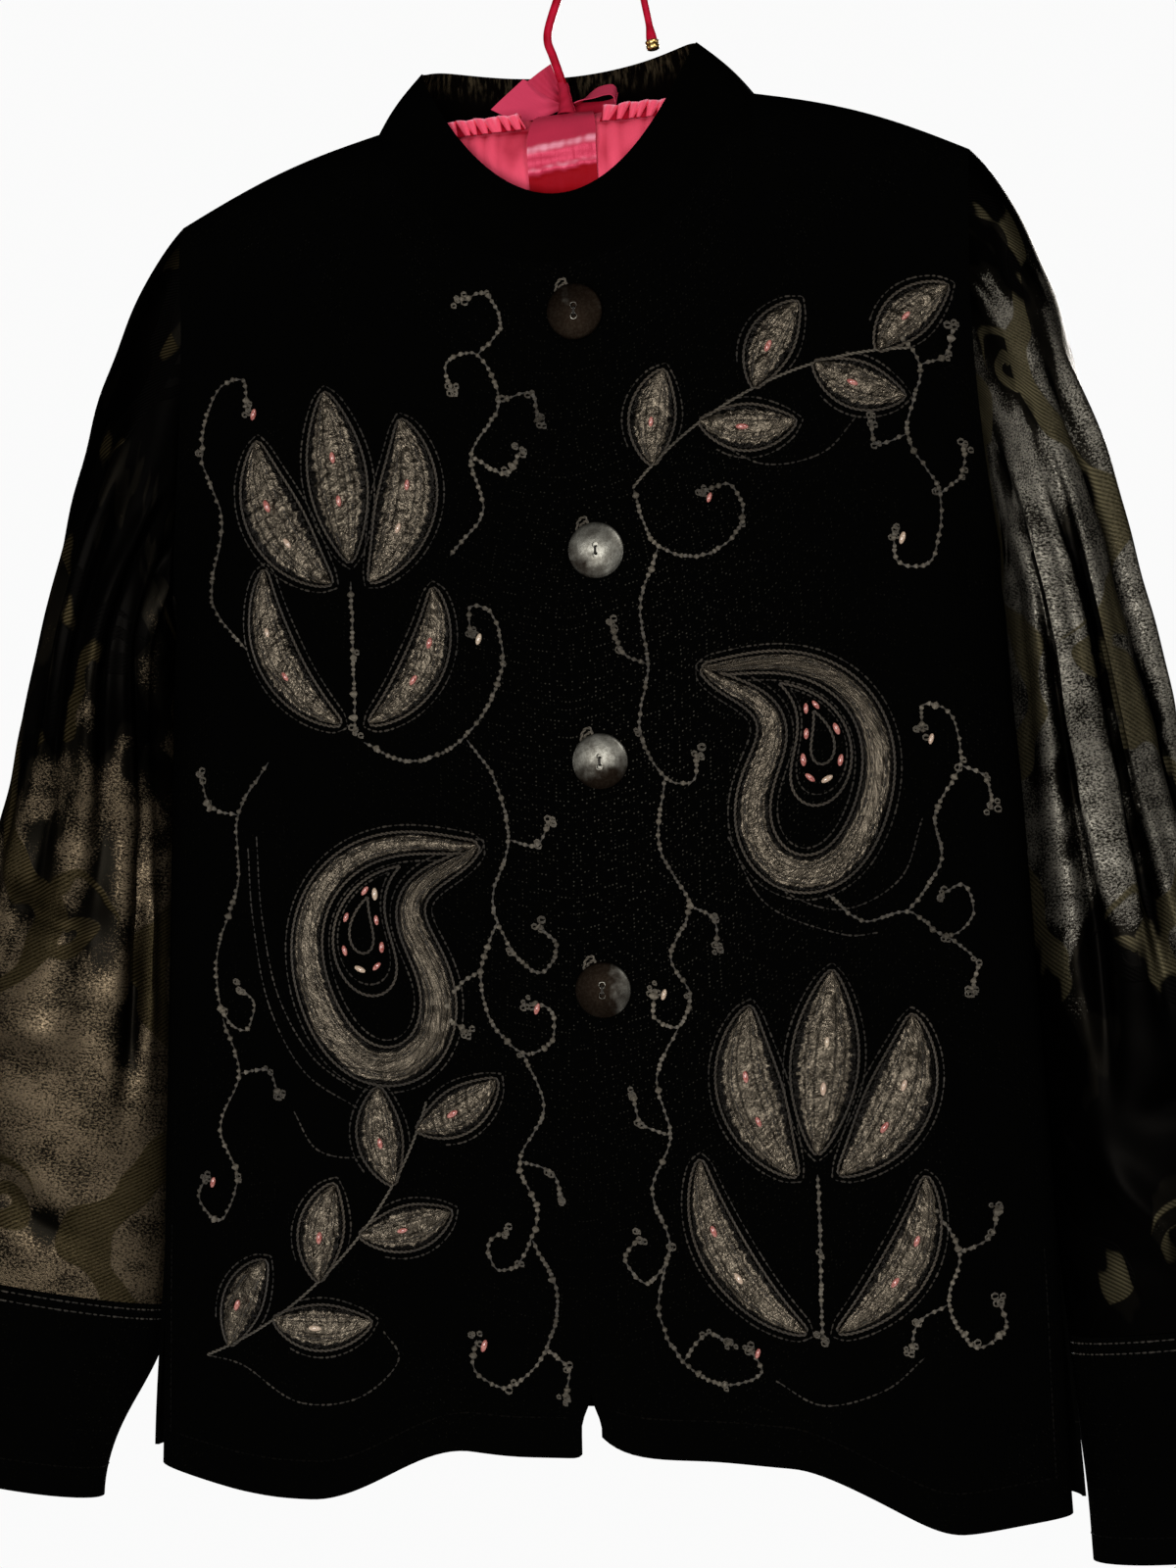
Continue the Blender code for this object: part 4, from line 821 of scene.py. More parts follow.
# Sleeve creases: way round from the outer line and z of both ends, half width, height, bow.
sleeveCreases = {
    1: (
        (0.022, -0.200, 0.020, -0.430, 0.0060, 0.0035, 0.02),
        (0.040, -0.210, 0.034, -0.520, 0.0045, -0.0040, 0.03),
        (0.056, -0.230, 0.052, -0.640, 0.0055, 0.0036, -0.02),
        (0.078, -0.260, 0.080, -0.560, 0.0045, -0.0036, 0.03),
        (0.098, -0.240, 0.093, -0.520, 0.0060, 0.0030, -0.03),
        (0.120, -0.280, 0.112, -0.600, 0.0060, -0.0030, 0.02),
        (0.008, -0.330, 0.004, -0.500, 0.0050, -0.0040, 0.04),
        (0.030, -0.500, 0.105, -0.590, 0.0070, -0.0022, 0.12),
        (0.125, -0.590, 0.050, -0.670, 0.0090, 0.0024, -0.10),
        (0.020, -0.600, 0.060, -0.680, 0.0080, -0.0020, 0.08),
        (0.200, -0.240, 0.210, -0.520, 0.0070, 0.0034, 0.03),
        (0.235, -0.260, 0.240, -0.600, 0.0060, -0.0036, -0.03),
        (0.270, -0.220, 0.265, -0.480, 0.0070, 0.0032, 0.04),
        (0.300, -0.300, 0.290, -0.620, 0.0070, -0.0030, 0.02),
        (0.210, -0.560, 0.290, -0.630, 0.0100, -0.0026, 0.10),
    ),
    -1: (
        (0.145, -0.210, 0.142, -0.600, 0.0050, 0.0034, 0.02),
        (0.128, -0.200, 0.124, -0.620, 0.0055, -0.0044, -0.02),
        (0.105, -0.230, 0.100, -0.480, 0.0060, 0.0026, 0.03),
        (0.050, -0.200, 0.058, -0.430, 0.0080, -0.0034, 0.05),
        (0.030, -0.240, 0.024, -0.460, 0.0070, 0.0030, -0.03),
        (0.030, -0.455, 0.112, -0.490, 0.0070, -0.0018, 0.08),
        (0.020, -0.530, 0.110, -0.560, 0.0130, 0.0020, -0.08),
        (0.060, -0.590, 0.120, -0.670, 0.0080, -0.0018, 0.10),
        (0.012, -0.600, 0.070, -0.650, 0.0100, 0.0022, 0.10),
        (0.205, -0.240, 0.212, -0.560, 0.0070, 0.0034, 0.03),
        (0.240, -0.250, 0.236, -0.600, 0.0060, -0.0036, -0.03),
        (0.275, -0.230, 0.285, -0.500, 0.0070, 0.0030, 0.04),
        (0.305, -0.300, 0.300, -0.600, 0.0070, -0.0030, 0.02),
        (0.215, -0.580, 0.300, -0.620, 0.0100, -0.0024, 0.10),
    ),
}


# Values given at falling levels, read between them.
def byLevel(rows, z):
    levels, values = np.array(rows).T
    return np.interp(-z, -levels, values)


# Middle, half breadth and half depth of a sleeve's ring at a level.
def sleeveRing(z, side):
    swing = sleeve["swing"][side] * smooth((sleeve["cuffZ"] - z) / (sleeve["cuffZ"] - sleeve["hemZ"]))
    tuck = sleeve["tuck"] * smooth((sleeve["topZ"] - z) / sleeve["settle"])
    outer = sleeve["outerX"][side] + sleeve["outerSlope"][side] * (sleeve["topZ"] - z)
    inner = sideX(z) + sleeve["clear"] - tuck + body["ventSet"]["back"] * vent(z) + swing
    return (outer + inner) / 2, (outer - inner) / 2, byLevel(sleeve["depth"], z)


# Share of the radius taken off by the large folds.
def sleeveFolds(angles, z):
    total = 0.0
    for angle, width, depth, lowZ in sleeveFoldRows:
        apart = (np.degrees(angles) - angle + 180.0) % 360.0 - 180.0
        fade = smooth((sleeve["foldTopZ"] - z) / sleeve["foldTopRun"])
        total += depth * bell(apart / width) * fade * smooth((z - lowZ) / sleeve["foldLowRun"])
    return total


# Rings of the sleeve below the armhole.
def sleeveRings(levels, angles, side, folded):
    z = np.asarray(levels)[:, None]
    middle, breadth, depth = sleeveRing(z, side)
    shrink = 1.0 - sleeveFolds(angles, z) if folded else 1.0
    offX = breadth * np.cos(angles) * shrink
    y = sleeve["back"] * smooth((sleeve["topZ"] - z) / sleeve["settle"]) - depth * np.sin(angles) * shrink
    tilt = sleeve["tilt"] * smooth((sleeve["topZ"] - z) / (sleeve["topZ"] - sleeve["cuffZ"]))
    return stacked(side * (middle + offX), y, z + tilt * offX)


# Points at even distances along a line of points of any dimension.
def evenPoints(line, count):
    travel = np.concatenate(([0.0], np.cumsum(stepLengths(line))))
    places = np.linspace(0.0, travel[-1], count)
    return np.stack([np.interp(places, travel, column) for column in line.T], axis=-1)


# Points of a smooth curve through the given ones, as weighted sums of four neighbours.
def through(points, steps):
    points = np.asarray(points, dtype=float)
    padded = np.concatenate((2 * points[:1] - points[1:2], points, 2 * points[-1:] - points[-2:-1]))
    a, b, c, d = (padded[start : start + len(points) - 1, None] for start in range(4))
    t = np.linspace(0.0, 1.0, steps, endpoint=False)[None, :, None]
    bent = (2 * a - 5 * b + 4 * c - d) * t**2 + (3 * b - a - 3 * c + d) * t**3
    curve = (2 * b + (c - a) * t + bent) / 2
    return np.concatenate((curve.reshape(-1, points.shape[1]), points[-1:]))


# The armhole's loop, from the shoulder through the front to the underarm and up the back.
def armholeLoop(side):
    halves = []
    for panel in ("front", "back"):
        edge = halfPanel(side, panel)[: body["armholeSteps"] + 1, -1]
        edge[[0, -1], 1] = 0.0
        halves.append(evenPoints(edge, sleeve["sides"] // 2 + 1))
    return np.concatenate((halves[0], halves[1][-2:0:-1]))


# A sleeve's outer grid and its painted shade: a cap that leaves the armhole on a cubic curve and flows into
# the rings below, with creases that stay clear of the inner line, which lies against the body.
def sleeveGrid(side):
    loop = armholeLoop(side)
    angles = roundAngles(sleeve["sides"])
    levels = np.linspace(sleeve["topZ"], sleeve["cuffZ"] + cloth["seam"], sleeve["steps"] + 1)
    rings = sleeveRings(levels, angles, side, True)
    first, below = sleeveRings([sleeve["topZ"], sleeve["topZ"] - sleeve["below"]], angles, side, False)
    reach = np.linalg.norm(first - loop, axis=1, keepdims=True)
    high = (1 + np.cos(angles)[:, None]) / 2
    run = np.array((side * sleeve["capRun"][0], 0.0, sleeve["capRun"][1]))
    leave = unit(run * high + (1 - high) * (first - loop))
    leave[:, 1] -= sleeve["capBulge"] * np.sin(angles) * np.sqrt(high[:, 0])
    t = evenShares(sleeve["capSteps"] + 1)[:-1, None, None]
    cap = (2 * t**3 - 3 * t**2 + 1) * loop + (t**3 - 2 * t**2 + t) * reach * sleeve["capPull"] * unit(leave)
    cap = cap + (3 * t**2 - 2 * t**3) * first + (t**3 - t**2) * reach * unit(below - first)
    middle = stacked(side * sleeveRing(cap[..., 2], side)[0], 0.0, cap[..., 2])
    cap = cap - (cap - middle) * (sleeveFolds(angles, cap[..., 2]) * smooth(t[..., 0]))[..., None]
    grid = np.concatenate((cap, rings))
    z, around = grid[..., 2], angles / (2 * math.pi) * sleeve["girth"]
    fromInner = np.abs(np.degrees(angles) - 180.0)
    fine = creases(around, z, sleeveCreases[side])
    fine = fine + sleeve["ripple"] * ripple(around, z, sleeve["ripplePitch"], 11 + side)
    fine = fine * sleeve["creaseGain"] * smooth((fromInner - sleeve["calmTurn"]) / sleeve["calmRun"])
    lean = sleeve["lean"] * bell(fromInner / sleeve["leanTurn"])
    lean = lean * smooth((sleeve["leanZ"] - z) / sleeve["leanRun"])
    top, foot = sleeve["ease"]
    ease = smooth(np.linspace(0.0, top, len(grid))) * smooth(np.linspace(foot, 0.0, len(grid)))
    # Painted shade by level, in troughs and along large folds; painted light on the ridges.
    shade = byLevel(sleeve["shade"][side], z) + limited(-fine / sleeve["troughDepth"])
    shade = shade - np.clip(fine / sleeve["ridgeHeight"], 0.0, sleeve["ridgeLight"])
    shade = shade + sleeve["foldShade"] * limited(sleeveFolds(angles, z) / sleeve["foldShare"])
    grid = grid + tubeNormals(grid) * ((fine + lean) * ease[:, None])[..., None]
    return grid, np.clip(shade, 0.0, sleeve["darkest"])


# Inner face of a sleeve: the outer grid moved in; at the armhole it stays on the sleeve's side of the seam.
def sleeveInner(grid, side):
    normals = tubeNormals(grid)
    normals[0, :, 0] = np.where(normals[0, :, 0] * side > 0.0, 0.0, normals[0, :, 0])
    normals[-1, :, 2] = 0.0
    inner = grid - cloth["wall"] * unit(normals)
    limit = panelX(inner[0, :, 2], "front") + cloth["seam"]
    inner[0, :, 0] = side * np.maximum(np.abs(inner[0, :, 0]), limit)
    return inner


# Each sleeve is a creased tube, with a plain band of rings below it as its cuff.
def makeSleeves():
    cuffs = []
    angles = roundAngles(sleeve["sides"])
    around = angles / (2 * math.pi) * sleeve["girth"]
    for name, side in sides.items():
        grid, shade = sleeveGrid(side)
        outer, inner = hang(grid), hang(sleeveInner(grid, side))
        tube = clothPiece("cloth_sleeve_" + name, outer, inner, "jacquard_" + name, True, shade)
        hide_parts(f"sleeve_{name}_front", f"sleeve_{name}_back")
        levels = np.linspace(sleeve["cuffZ"], sleeve["hemZ"], sleeve["cuffSteps"] + 1)
        cuff = sleeveRings(levels, angles, side, False)
        normals = tubeNormals(cuff)
        normals[0, :, 2] = 0.0
        wave = ripple(around, levels[:, None], sleeve["cuffRipplePitch"], 21 + side) * sleeve["cuffRipple"]
        ease = smooth(np.linspace(0.0, sleeve["cuffEase"], len(levels)))[:, None]
        cuff = cuff + normals * (wave * ease)[..., None]
        inside = cuff - cloth["wall"] * unit(normals)
        band = clothPiece("cloth_cuff_" + name, hang(cuff), hang(inside), "linen", True)
        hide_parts("cuff_" + name)
        cuffs.append(cuff)
    return cuffs


collar = dict(
    half=0.0715, shift=-0.0035, topZ=-0.042, drop=dict(front=0.08, back=0.0065), wall=0.002, swell=0.002,
    depth=dict(front=0.038, back=0.034), curve=dict(front=1.7, back=3.0), rows=24,
    cornerSoft=0.004, cornerTurn=19.0,
)


# The neckline's points and normals, from the centre front round the back to the centre front again.
def neckline():
    quarters = []
    for side, panel in ((1, "front"), (1, "back"), (-1, "back"), (-1, "front")):
        grid = halfPanel(side, panel)
        quarter = np.concatenate((grid[0], panelNormals(grid, panel)[0]), axis=-1)[: body["neckSteps"]]
        quarter[-1, 1] = 0.0
        quarters.append(quarter)
    first, second, third, fourth = quarters
    loop = np.concatenate((first, second[-2::-1], third[1:], fourth[-2::-1]))
    return loop[:, :3], loop[:, 3:]


# The collar's foot follows the neckline and its upper edge leans in; it opens at the centre front.
def makeCollar():
    foot, footNormals = neckline()
    quarter = np.linspace(0.0, math.pi / 2, body["neckSteps"])
    half = np.concatenate((quarter, math.pi - quarter[-2::-1]))
    angles = np.concatenate((half, 2 * math.pi - half[-2::-1]))
    across, ahead = np.sin(angles), np.cos(angles)
    pairs = (collar[key] for key in ("curve", "depth", "drop"))
    curve, depth, drop = (np.where(ahead > 0.0, pair["front"], pair["back"]) for pair in pairs)
    topX = collar["half"] * across + collar["shift"] * across**2
    topX[[0, -1]] = foot[[0, -1], 0]
    fromCorner = np.degrees(np.arccos(limited(np.abs(across))))
    soft = collar["cornerSoft"] * bell(fromCorner / collar["cornerTurn"])
    top = stacked(topX, -ahead * depth, collar["topZ"] - np.abs(ahead) ** curve * drop - soft)
    rise = np.linspace(1.0, 0.0, collar["rows"] + 1)[:, None, None]
    outward = stacked(across, -ahead, 0.0)
    grid = blend(foot, top, rise) + collar["swell"] * np.sin(math.pi * rise) * outward
    normals = gridNormals(grid, outward)
    normals[-1] = footNormals
    normals[:, [0, -1], 0] = 0.0
    inner = grid - collar["wall"] * unit(normals)
    piece = clothPiece("cloth_collar", hang(grid), hang(inner), "collar")
    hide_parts("collar")


makeBody()
cuffs = makeSleeves()
makeCollar()
print("cloth made")


applique = dict(
    under=0.0002, edgeLift=0.0008, crown=0.0016, end=0.0006, leafBend=30.0, leafSwell=0.8, petalCurl=-1.2,
    petalStep=0.0105, dropShape=1.3, dropSwell=0.7, dropOpen=0.03, along=70, across=16,
    ragged=0.07, raggedPitch=0.012, raggedWay=0.2, raggedApart=0.03, pucker=0.0008, puckerPitch=0.0075,
    edgePower=3, cutShift=0.037, nearRow=0.0011, farRow=0.0046, rowStep=0.0008, leafOpen=7, contourEnd=6,
    contours=(-0.5, 0.5), dropSteps=200, dropSeed=60, patchSeed=100,
    # Rows of cord inside a drop: share of its size and style.
    dropRows=((0.50, "twisted"), (0.42, "stitched"), (0.20, "twisted")),
    # Sprays: root x and z, heading, bend, length, leaves, leaf length, leaf half width, leaf angle.
    sprays=dict(
        right=(-0.204, -0.708, 22, 50, 0.186, 6, 0.050, 0.0105, 52),
        left=(0.034, -0.272, 50, -50, 0.158, 5, 0.047, 0.0105, 52),
    ),
    # Flowers: root x and z, heading, spread, petal length, petal half width.
    flowers=dict(right=(-0.112, -0.302, 97, 50, 0.086, 0.0145), left=(0.116, -0.604, 84, 50, 0.090, 0.0155)),
    # Blades: root x and z, heading, bend, length, half width.
    blades=dict(
        right_1=(-0.120, -0.384, 152, -72, 0.094, 0.0105), right_2=(-0.104, -0.384, 26, 72, 0.080, 0.0100),
        left_1=(0.108, -0.692, 154, -66, 0.104, 0.0110), left_2=(0.124, -0.692, 26, 66, 0.092, 0.0110),
    ),
    # Drops: middle x and z, heading, bend, length, breadth, border half width.
    drops=dict(
        right=(-0.112, -0.486, 104, -72, 0.148, 0.086, 0.0088),
        left=(0.124, -0.398, 78, 70, 0.138, 0.080, 0.0082),
    ),
)


# Points and headings of an arc from its root: even steps along a heading that turns evenly.
def arcPath(x, z, heading, bend, length, steps):
    turn = np.radians(heading + bend * evenShares(steps + 1))
    middle = (turn[1:] + turn[:-1]) / 2
    run = np.cumsum(stacked(np.cos(middle), np.sin(middle)) * length / steps, axis=0)
    return np.array((x, z)) + np.concatenate((np.zeros((1, 2)), run)), np.degrees(turn)


# Half widths along a patch: a sine bow raised to a power, between two blunt ends.
def swelling(steps, power, halfWidth):
    swell = np.sin(math.pi * evenShares(steps + 1)) ** power
    return blend(applique["end"], halfWidth, swell)


# A leaf's path and half widths: an arc that swells in its middle.
def leafShape(x, z, heading, bend, length, halfWidth):
    path, _ = arcPath(x, z, heading, bend, length, applique["along"])
    return path, swelling(applique["along"], applique["leafSwell"], halfWidth)


# A teardrop's path at a share of its size: a round belly drawn out to a bent tip.
def dropPath(x, z, heading, bend, length, breadth, share, scale=1.0):
    turn = 2 * math.pi * (applique["dropOpen"] + (1 - 2 * applique["dropOpen"]) * share)
    along = np.cos(turn) * length / 2 * scale
    aside = np.sin(turn) * np.sin(turn / 2) ** applique["dropShape"] * breadth / 2 * scale
    swing = np.radians(heading + bend * smooth(0.5 + along / length) ** 2)
    px = x + along * np.cos(swing) - aside * np.sin(swing)
    return stacked(px, z + along * np.sin(swing) + aside * np.cos(swing))


# All patches of the fronts: node name, kind, path and half widths.
def patchShapes():
    shapes = []
    for name, (*root, leaves, length, halfWidth, angle) in applique["sprays"].items():
        stem, turns = arcPath(*root, leaves * 2)
        for order in range(leaves):
            knot, side = 2 * order + 1, 1 if order % 2 == 0 else -1
            leaf = (*stem[knot], turns[knot] + side * angle, -side * applique["leafBend"], length, halfWidth)
            shapes.append((f"leaf_{name}_{order + 1}", "leaf", *leafShape(*leaf)))
    for name, (x, z, heading, spread, length, halfWidth) in applique["flowers"].items():
        for order in (-1, 0, 1):
            rootX, rootZ = x - applique["petalStep"] * order, z - applique["petalStep"] * abs(order)
            bend = order * spread * applique["petalCurl"]
            petal = leafShape(rootX, rootZ, heading + order * spread, bend, length, halfWidth)
            shapes.append((f"petal_{name}_{order + 2}", "petal", *petal))
    for name, row in applique["blades"].items():
        shapes.append(("blade_" + name, "blade", *leafShape(*row)))
    for name, (*drop, halfWidth) in applique["drops"].items():
        steps = applique["along"] * 2
        widths = swelling(steps, applique["dropSwell"], halfWidth)
        shapes.append(("paisley_" + name, "drop", dropPath(*drop, evenShares(steps + 1)), widths))
    return shapes


# Directions along a flat path and to its left.
def flatFrame(path):
    ahead = unit(np.gradient(path, axis=0))
    return ahead, stacked(-ahead[:, 1], ahead[:, 0])


# Height of a patch over the cloth at a share of its half width.
def patchLift(share):
    return applique["edgeLift"] + applique["crown"] * (1.0 - share**2)


# A patch follows the cloth under it: a crowned strip whose sewn edge is slightly ragged.
def patchShell(path, widths, seed):
    _, left = flatFrame(path)
    share = np.linspace(-1.0, 1.0, applique["across"] + 1)
    way = np.linspace(0.0, applique["raggedWay"], len(path))
    apart = applique["raggedApart"] * np.sign(share)
    uneven = 1.0 + applique["ragged"] * ripple(way, apart[:, None], applique["raggedPitch"], seed).T
    flat = path[:, None] + (widths[:, None] * share * uneven)[..., None] * left[:, None]
    pucker = applique["pucker"] * ripple(flat[..., 0], flat[..., 1], applique["puckerPitch"], seed + 1)
    outer, _ = onFront(flat, patchLift(share) + pucker * (1.0 - share**4))
    inner, _ = onFront(flat, applique["under"])
    edge = np.tile(np.abs(share) ** applique["edgePower"], len(path))
    return shell(outer, inner, edge, edge, cutGrid(outer) + seed * applique["cutShift"]), gridArea(outer)


# The patches of each front make one piece.
def makePatches(shapes):
    first = applique["patchSeed"]
    for name in sides:
        rows = [row for row in shapes if f"_{name}" in row[0]]
        made = [patchShell(path, widths, seed) for seed, (_, _, path, widths) in enumerate(rows, first)]
        piece = newPiece("applique_" + name, joined([mesh for mesh, _ in made]), "patch")
        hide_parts(*[row[0] for row in rows])


# A closed line round a patch at a distance from its edge, evened out and softened.
def outlineOf(path, widths, away):
    ahead, left = flatFrame(path)
    reach = (widths + away)[:, None]
    start, end = path[:1] - away * ahead[:1], path[-1:] + away * ahead[-1:]
    loop = np.concatenate((start, path + reach * left, end, (path - reach * left)[::-1], start))
    even = evenPoints(loop, int(stepLengths(loop).sum() / applique["rowStep"]))[:-1]
    for _ in range(3):
        even = (even + np.roll(even, 1, axis=0) + np.roll(even, -1, axis=0)) / 3
    return np.concatenate((even, even[:1]))


cord = dict(
    # Styles: radius, pitch of the strands or knots, step along the line, corners of the section.
    twisted=(0.00062, 0.0026, 0.0008, 5), knotted=(0.00145, 0.0030, 0.0008, 6),
    stitched=(0.00050, 0.0031, 0.0009, 4), coiled=(0.00052, 0.0016, 0.0012, 5),
    strand=0.26, waist=0.18, fewest=8, knotGap=(0.65, 1.45), knotSize=(0.35, 1.0), usual=0.88, bigKnot=1.7,
    endKnot=0.7, endRun=0.005, aside=0.00045, knotHalf=0.4, lobes=0.2, stitchSize=(0.45, 1.0),
)


# A cord on the cloth: rings round an even line whose radius swells as strands, knots or single stitches.
def rope(line, style, seed, lift=0.0, face=onFront):
    radius, pitch, step, corners = cord[style]
    count = max(int(stepLengths(line).sum() / step), cord["fewest"])
    flat = evenPoints(line, count)
    way = np.arange(count) * step
    chance = np.random.default_rng(seed)
    around = roundAngles(corners)
    # The mark is painted light on raised strands, knots and stitches, and painted shade between them.
    if style in ("twisted", "coiled"):
        strand = np.cos(2 * around - 2 * math.pi * way[:, None] / pitch)
        swell, mark = 1.0 + cord["strand"] * strand, 0.55 + 0.45 * strand
        rise = 0.6 * radius
    elif style == "knotted":
        at = np.cumsum(chance.uniform(*cord["knotGap"], int(way[-1] / pitch * 1.6) + 6)) * pitch
        size = chance.uniform(*cord["knotSize"], len(at))
        size = size * np.where(chance.random(len(at)) > cord["usual"], cord["bigKnot"], 1.0)
        size = size * (1.0 + cord["endKnot"] * np.exp(-np.abs(way[-1] - at) / cord["endRun"]))
        near = np.clip(np.searchsorted((at[1:] + at[:-1]) / 2, way), 0, len(at) - 1)
        aside = chance.uniform(-cord["aside"], cord["aside"], (len(at), 2)) * size[:, None]
        flat = flat + stacked(*[np.interp(way, at, column) for column in aside.T])
        knot = size[near]
        bump = knot * bell((way - at[near]) / (cord["knotHalf"] * pitch * np.sqrt(knot)))
        lobed = 1.0 + cord["lobes"] * np.cos(3 * around + 5 * knot[:, None])
        swell = (cord["waist"] + (1.0 - cord["waist"]) * bump)[:, None] * lobed
        mark = limited(0.12 + 0.95 * bump)[:, None]
        rise = 0.5 * radius * (0.4 + bump)
    else:
        stitch = (way / pitch).astype(int)
        size = chance.uniform(*cord["stitchSize"], stitch[-1] + 1)[stitch]
        mark = (size * smooth(np.sin(math.pi * (way / pitch % 1.0)) * 2.2 - 0.35))[:, None]
        swell = cord["waist"] + (1.0 - cord["waist"]) * mark
        rise = radius * (1.1 * mark[:, 0] - 0.7)
    swell, mark = swell * np.ones(corners), mark * np.ones(corners)
    swell[[0, -1]] = 0.0
    points, normals = face(flat, rise + lift)
    sideways = unit(np.cross(unit(np.gradient(points, axis=0)), normals))
    ring = np.cos(around)[:, None] * normals[:, None] + np.sin(around)[:, None] * sideways[:, None]
    return (*ringMesh(points[:, None] + radius * swell[..., None] * ring), mark.ravel())


# All cords of a kind make one piece.
def cordPiece(name, ropes, finish):
    newPiece(name, joined(ropes), finish)


# Two rows of couched cord round each patch, a stitched contour on it, and further rows inside the drops.
def makeOutlines(shapes):
    for name in sides:
        ropes, threads = [], []
        for seed, (node, kind, path, widths) in enumerate(shapes):
            if f"_{name}" not in node:
                continue
            ropes.append(rope(outlineOf(path, widths, applique["nearRow"]), "twisted", seed))
            outer = outlineOf(path, widths, applique["farRow"])
            if kind == "leaf":
                cut = len(outer) // applique["leafOpen"]
                outer = outer[cut:-cut]
            threads.append(rope(outer, "stitched", seed))
            _, left = flatFrame(path)
            ends = slice(applique["contourEnd"], -applique["contourEnd"])
            for side in applique["contours"]:
                line = (path + (side * widths)[:, None] * left)[ends]
                threads.append(rope(line, "stitched", seed, patchLift(side)))
        *drop, _ = applique["drops"][name]
        for scale, style in applique["dropRows"]:
            group = threads if style == "stitched" else ropes
            line = dropPath(*drop, evenShares(applique["dropSteps"]), scale)
            group.append(rope(line, style, applique["dropSeed"]))
        cordPiece("outline_cord_" + name, ropes, "cord")
        cordPiece("outline_thread_" + name, threads, "thread")


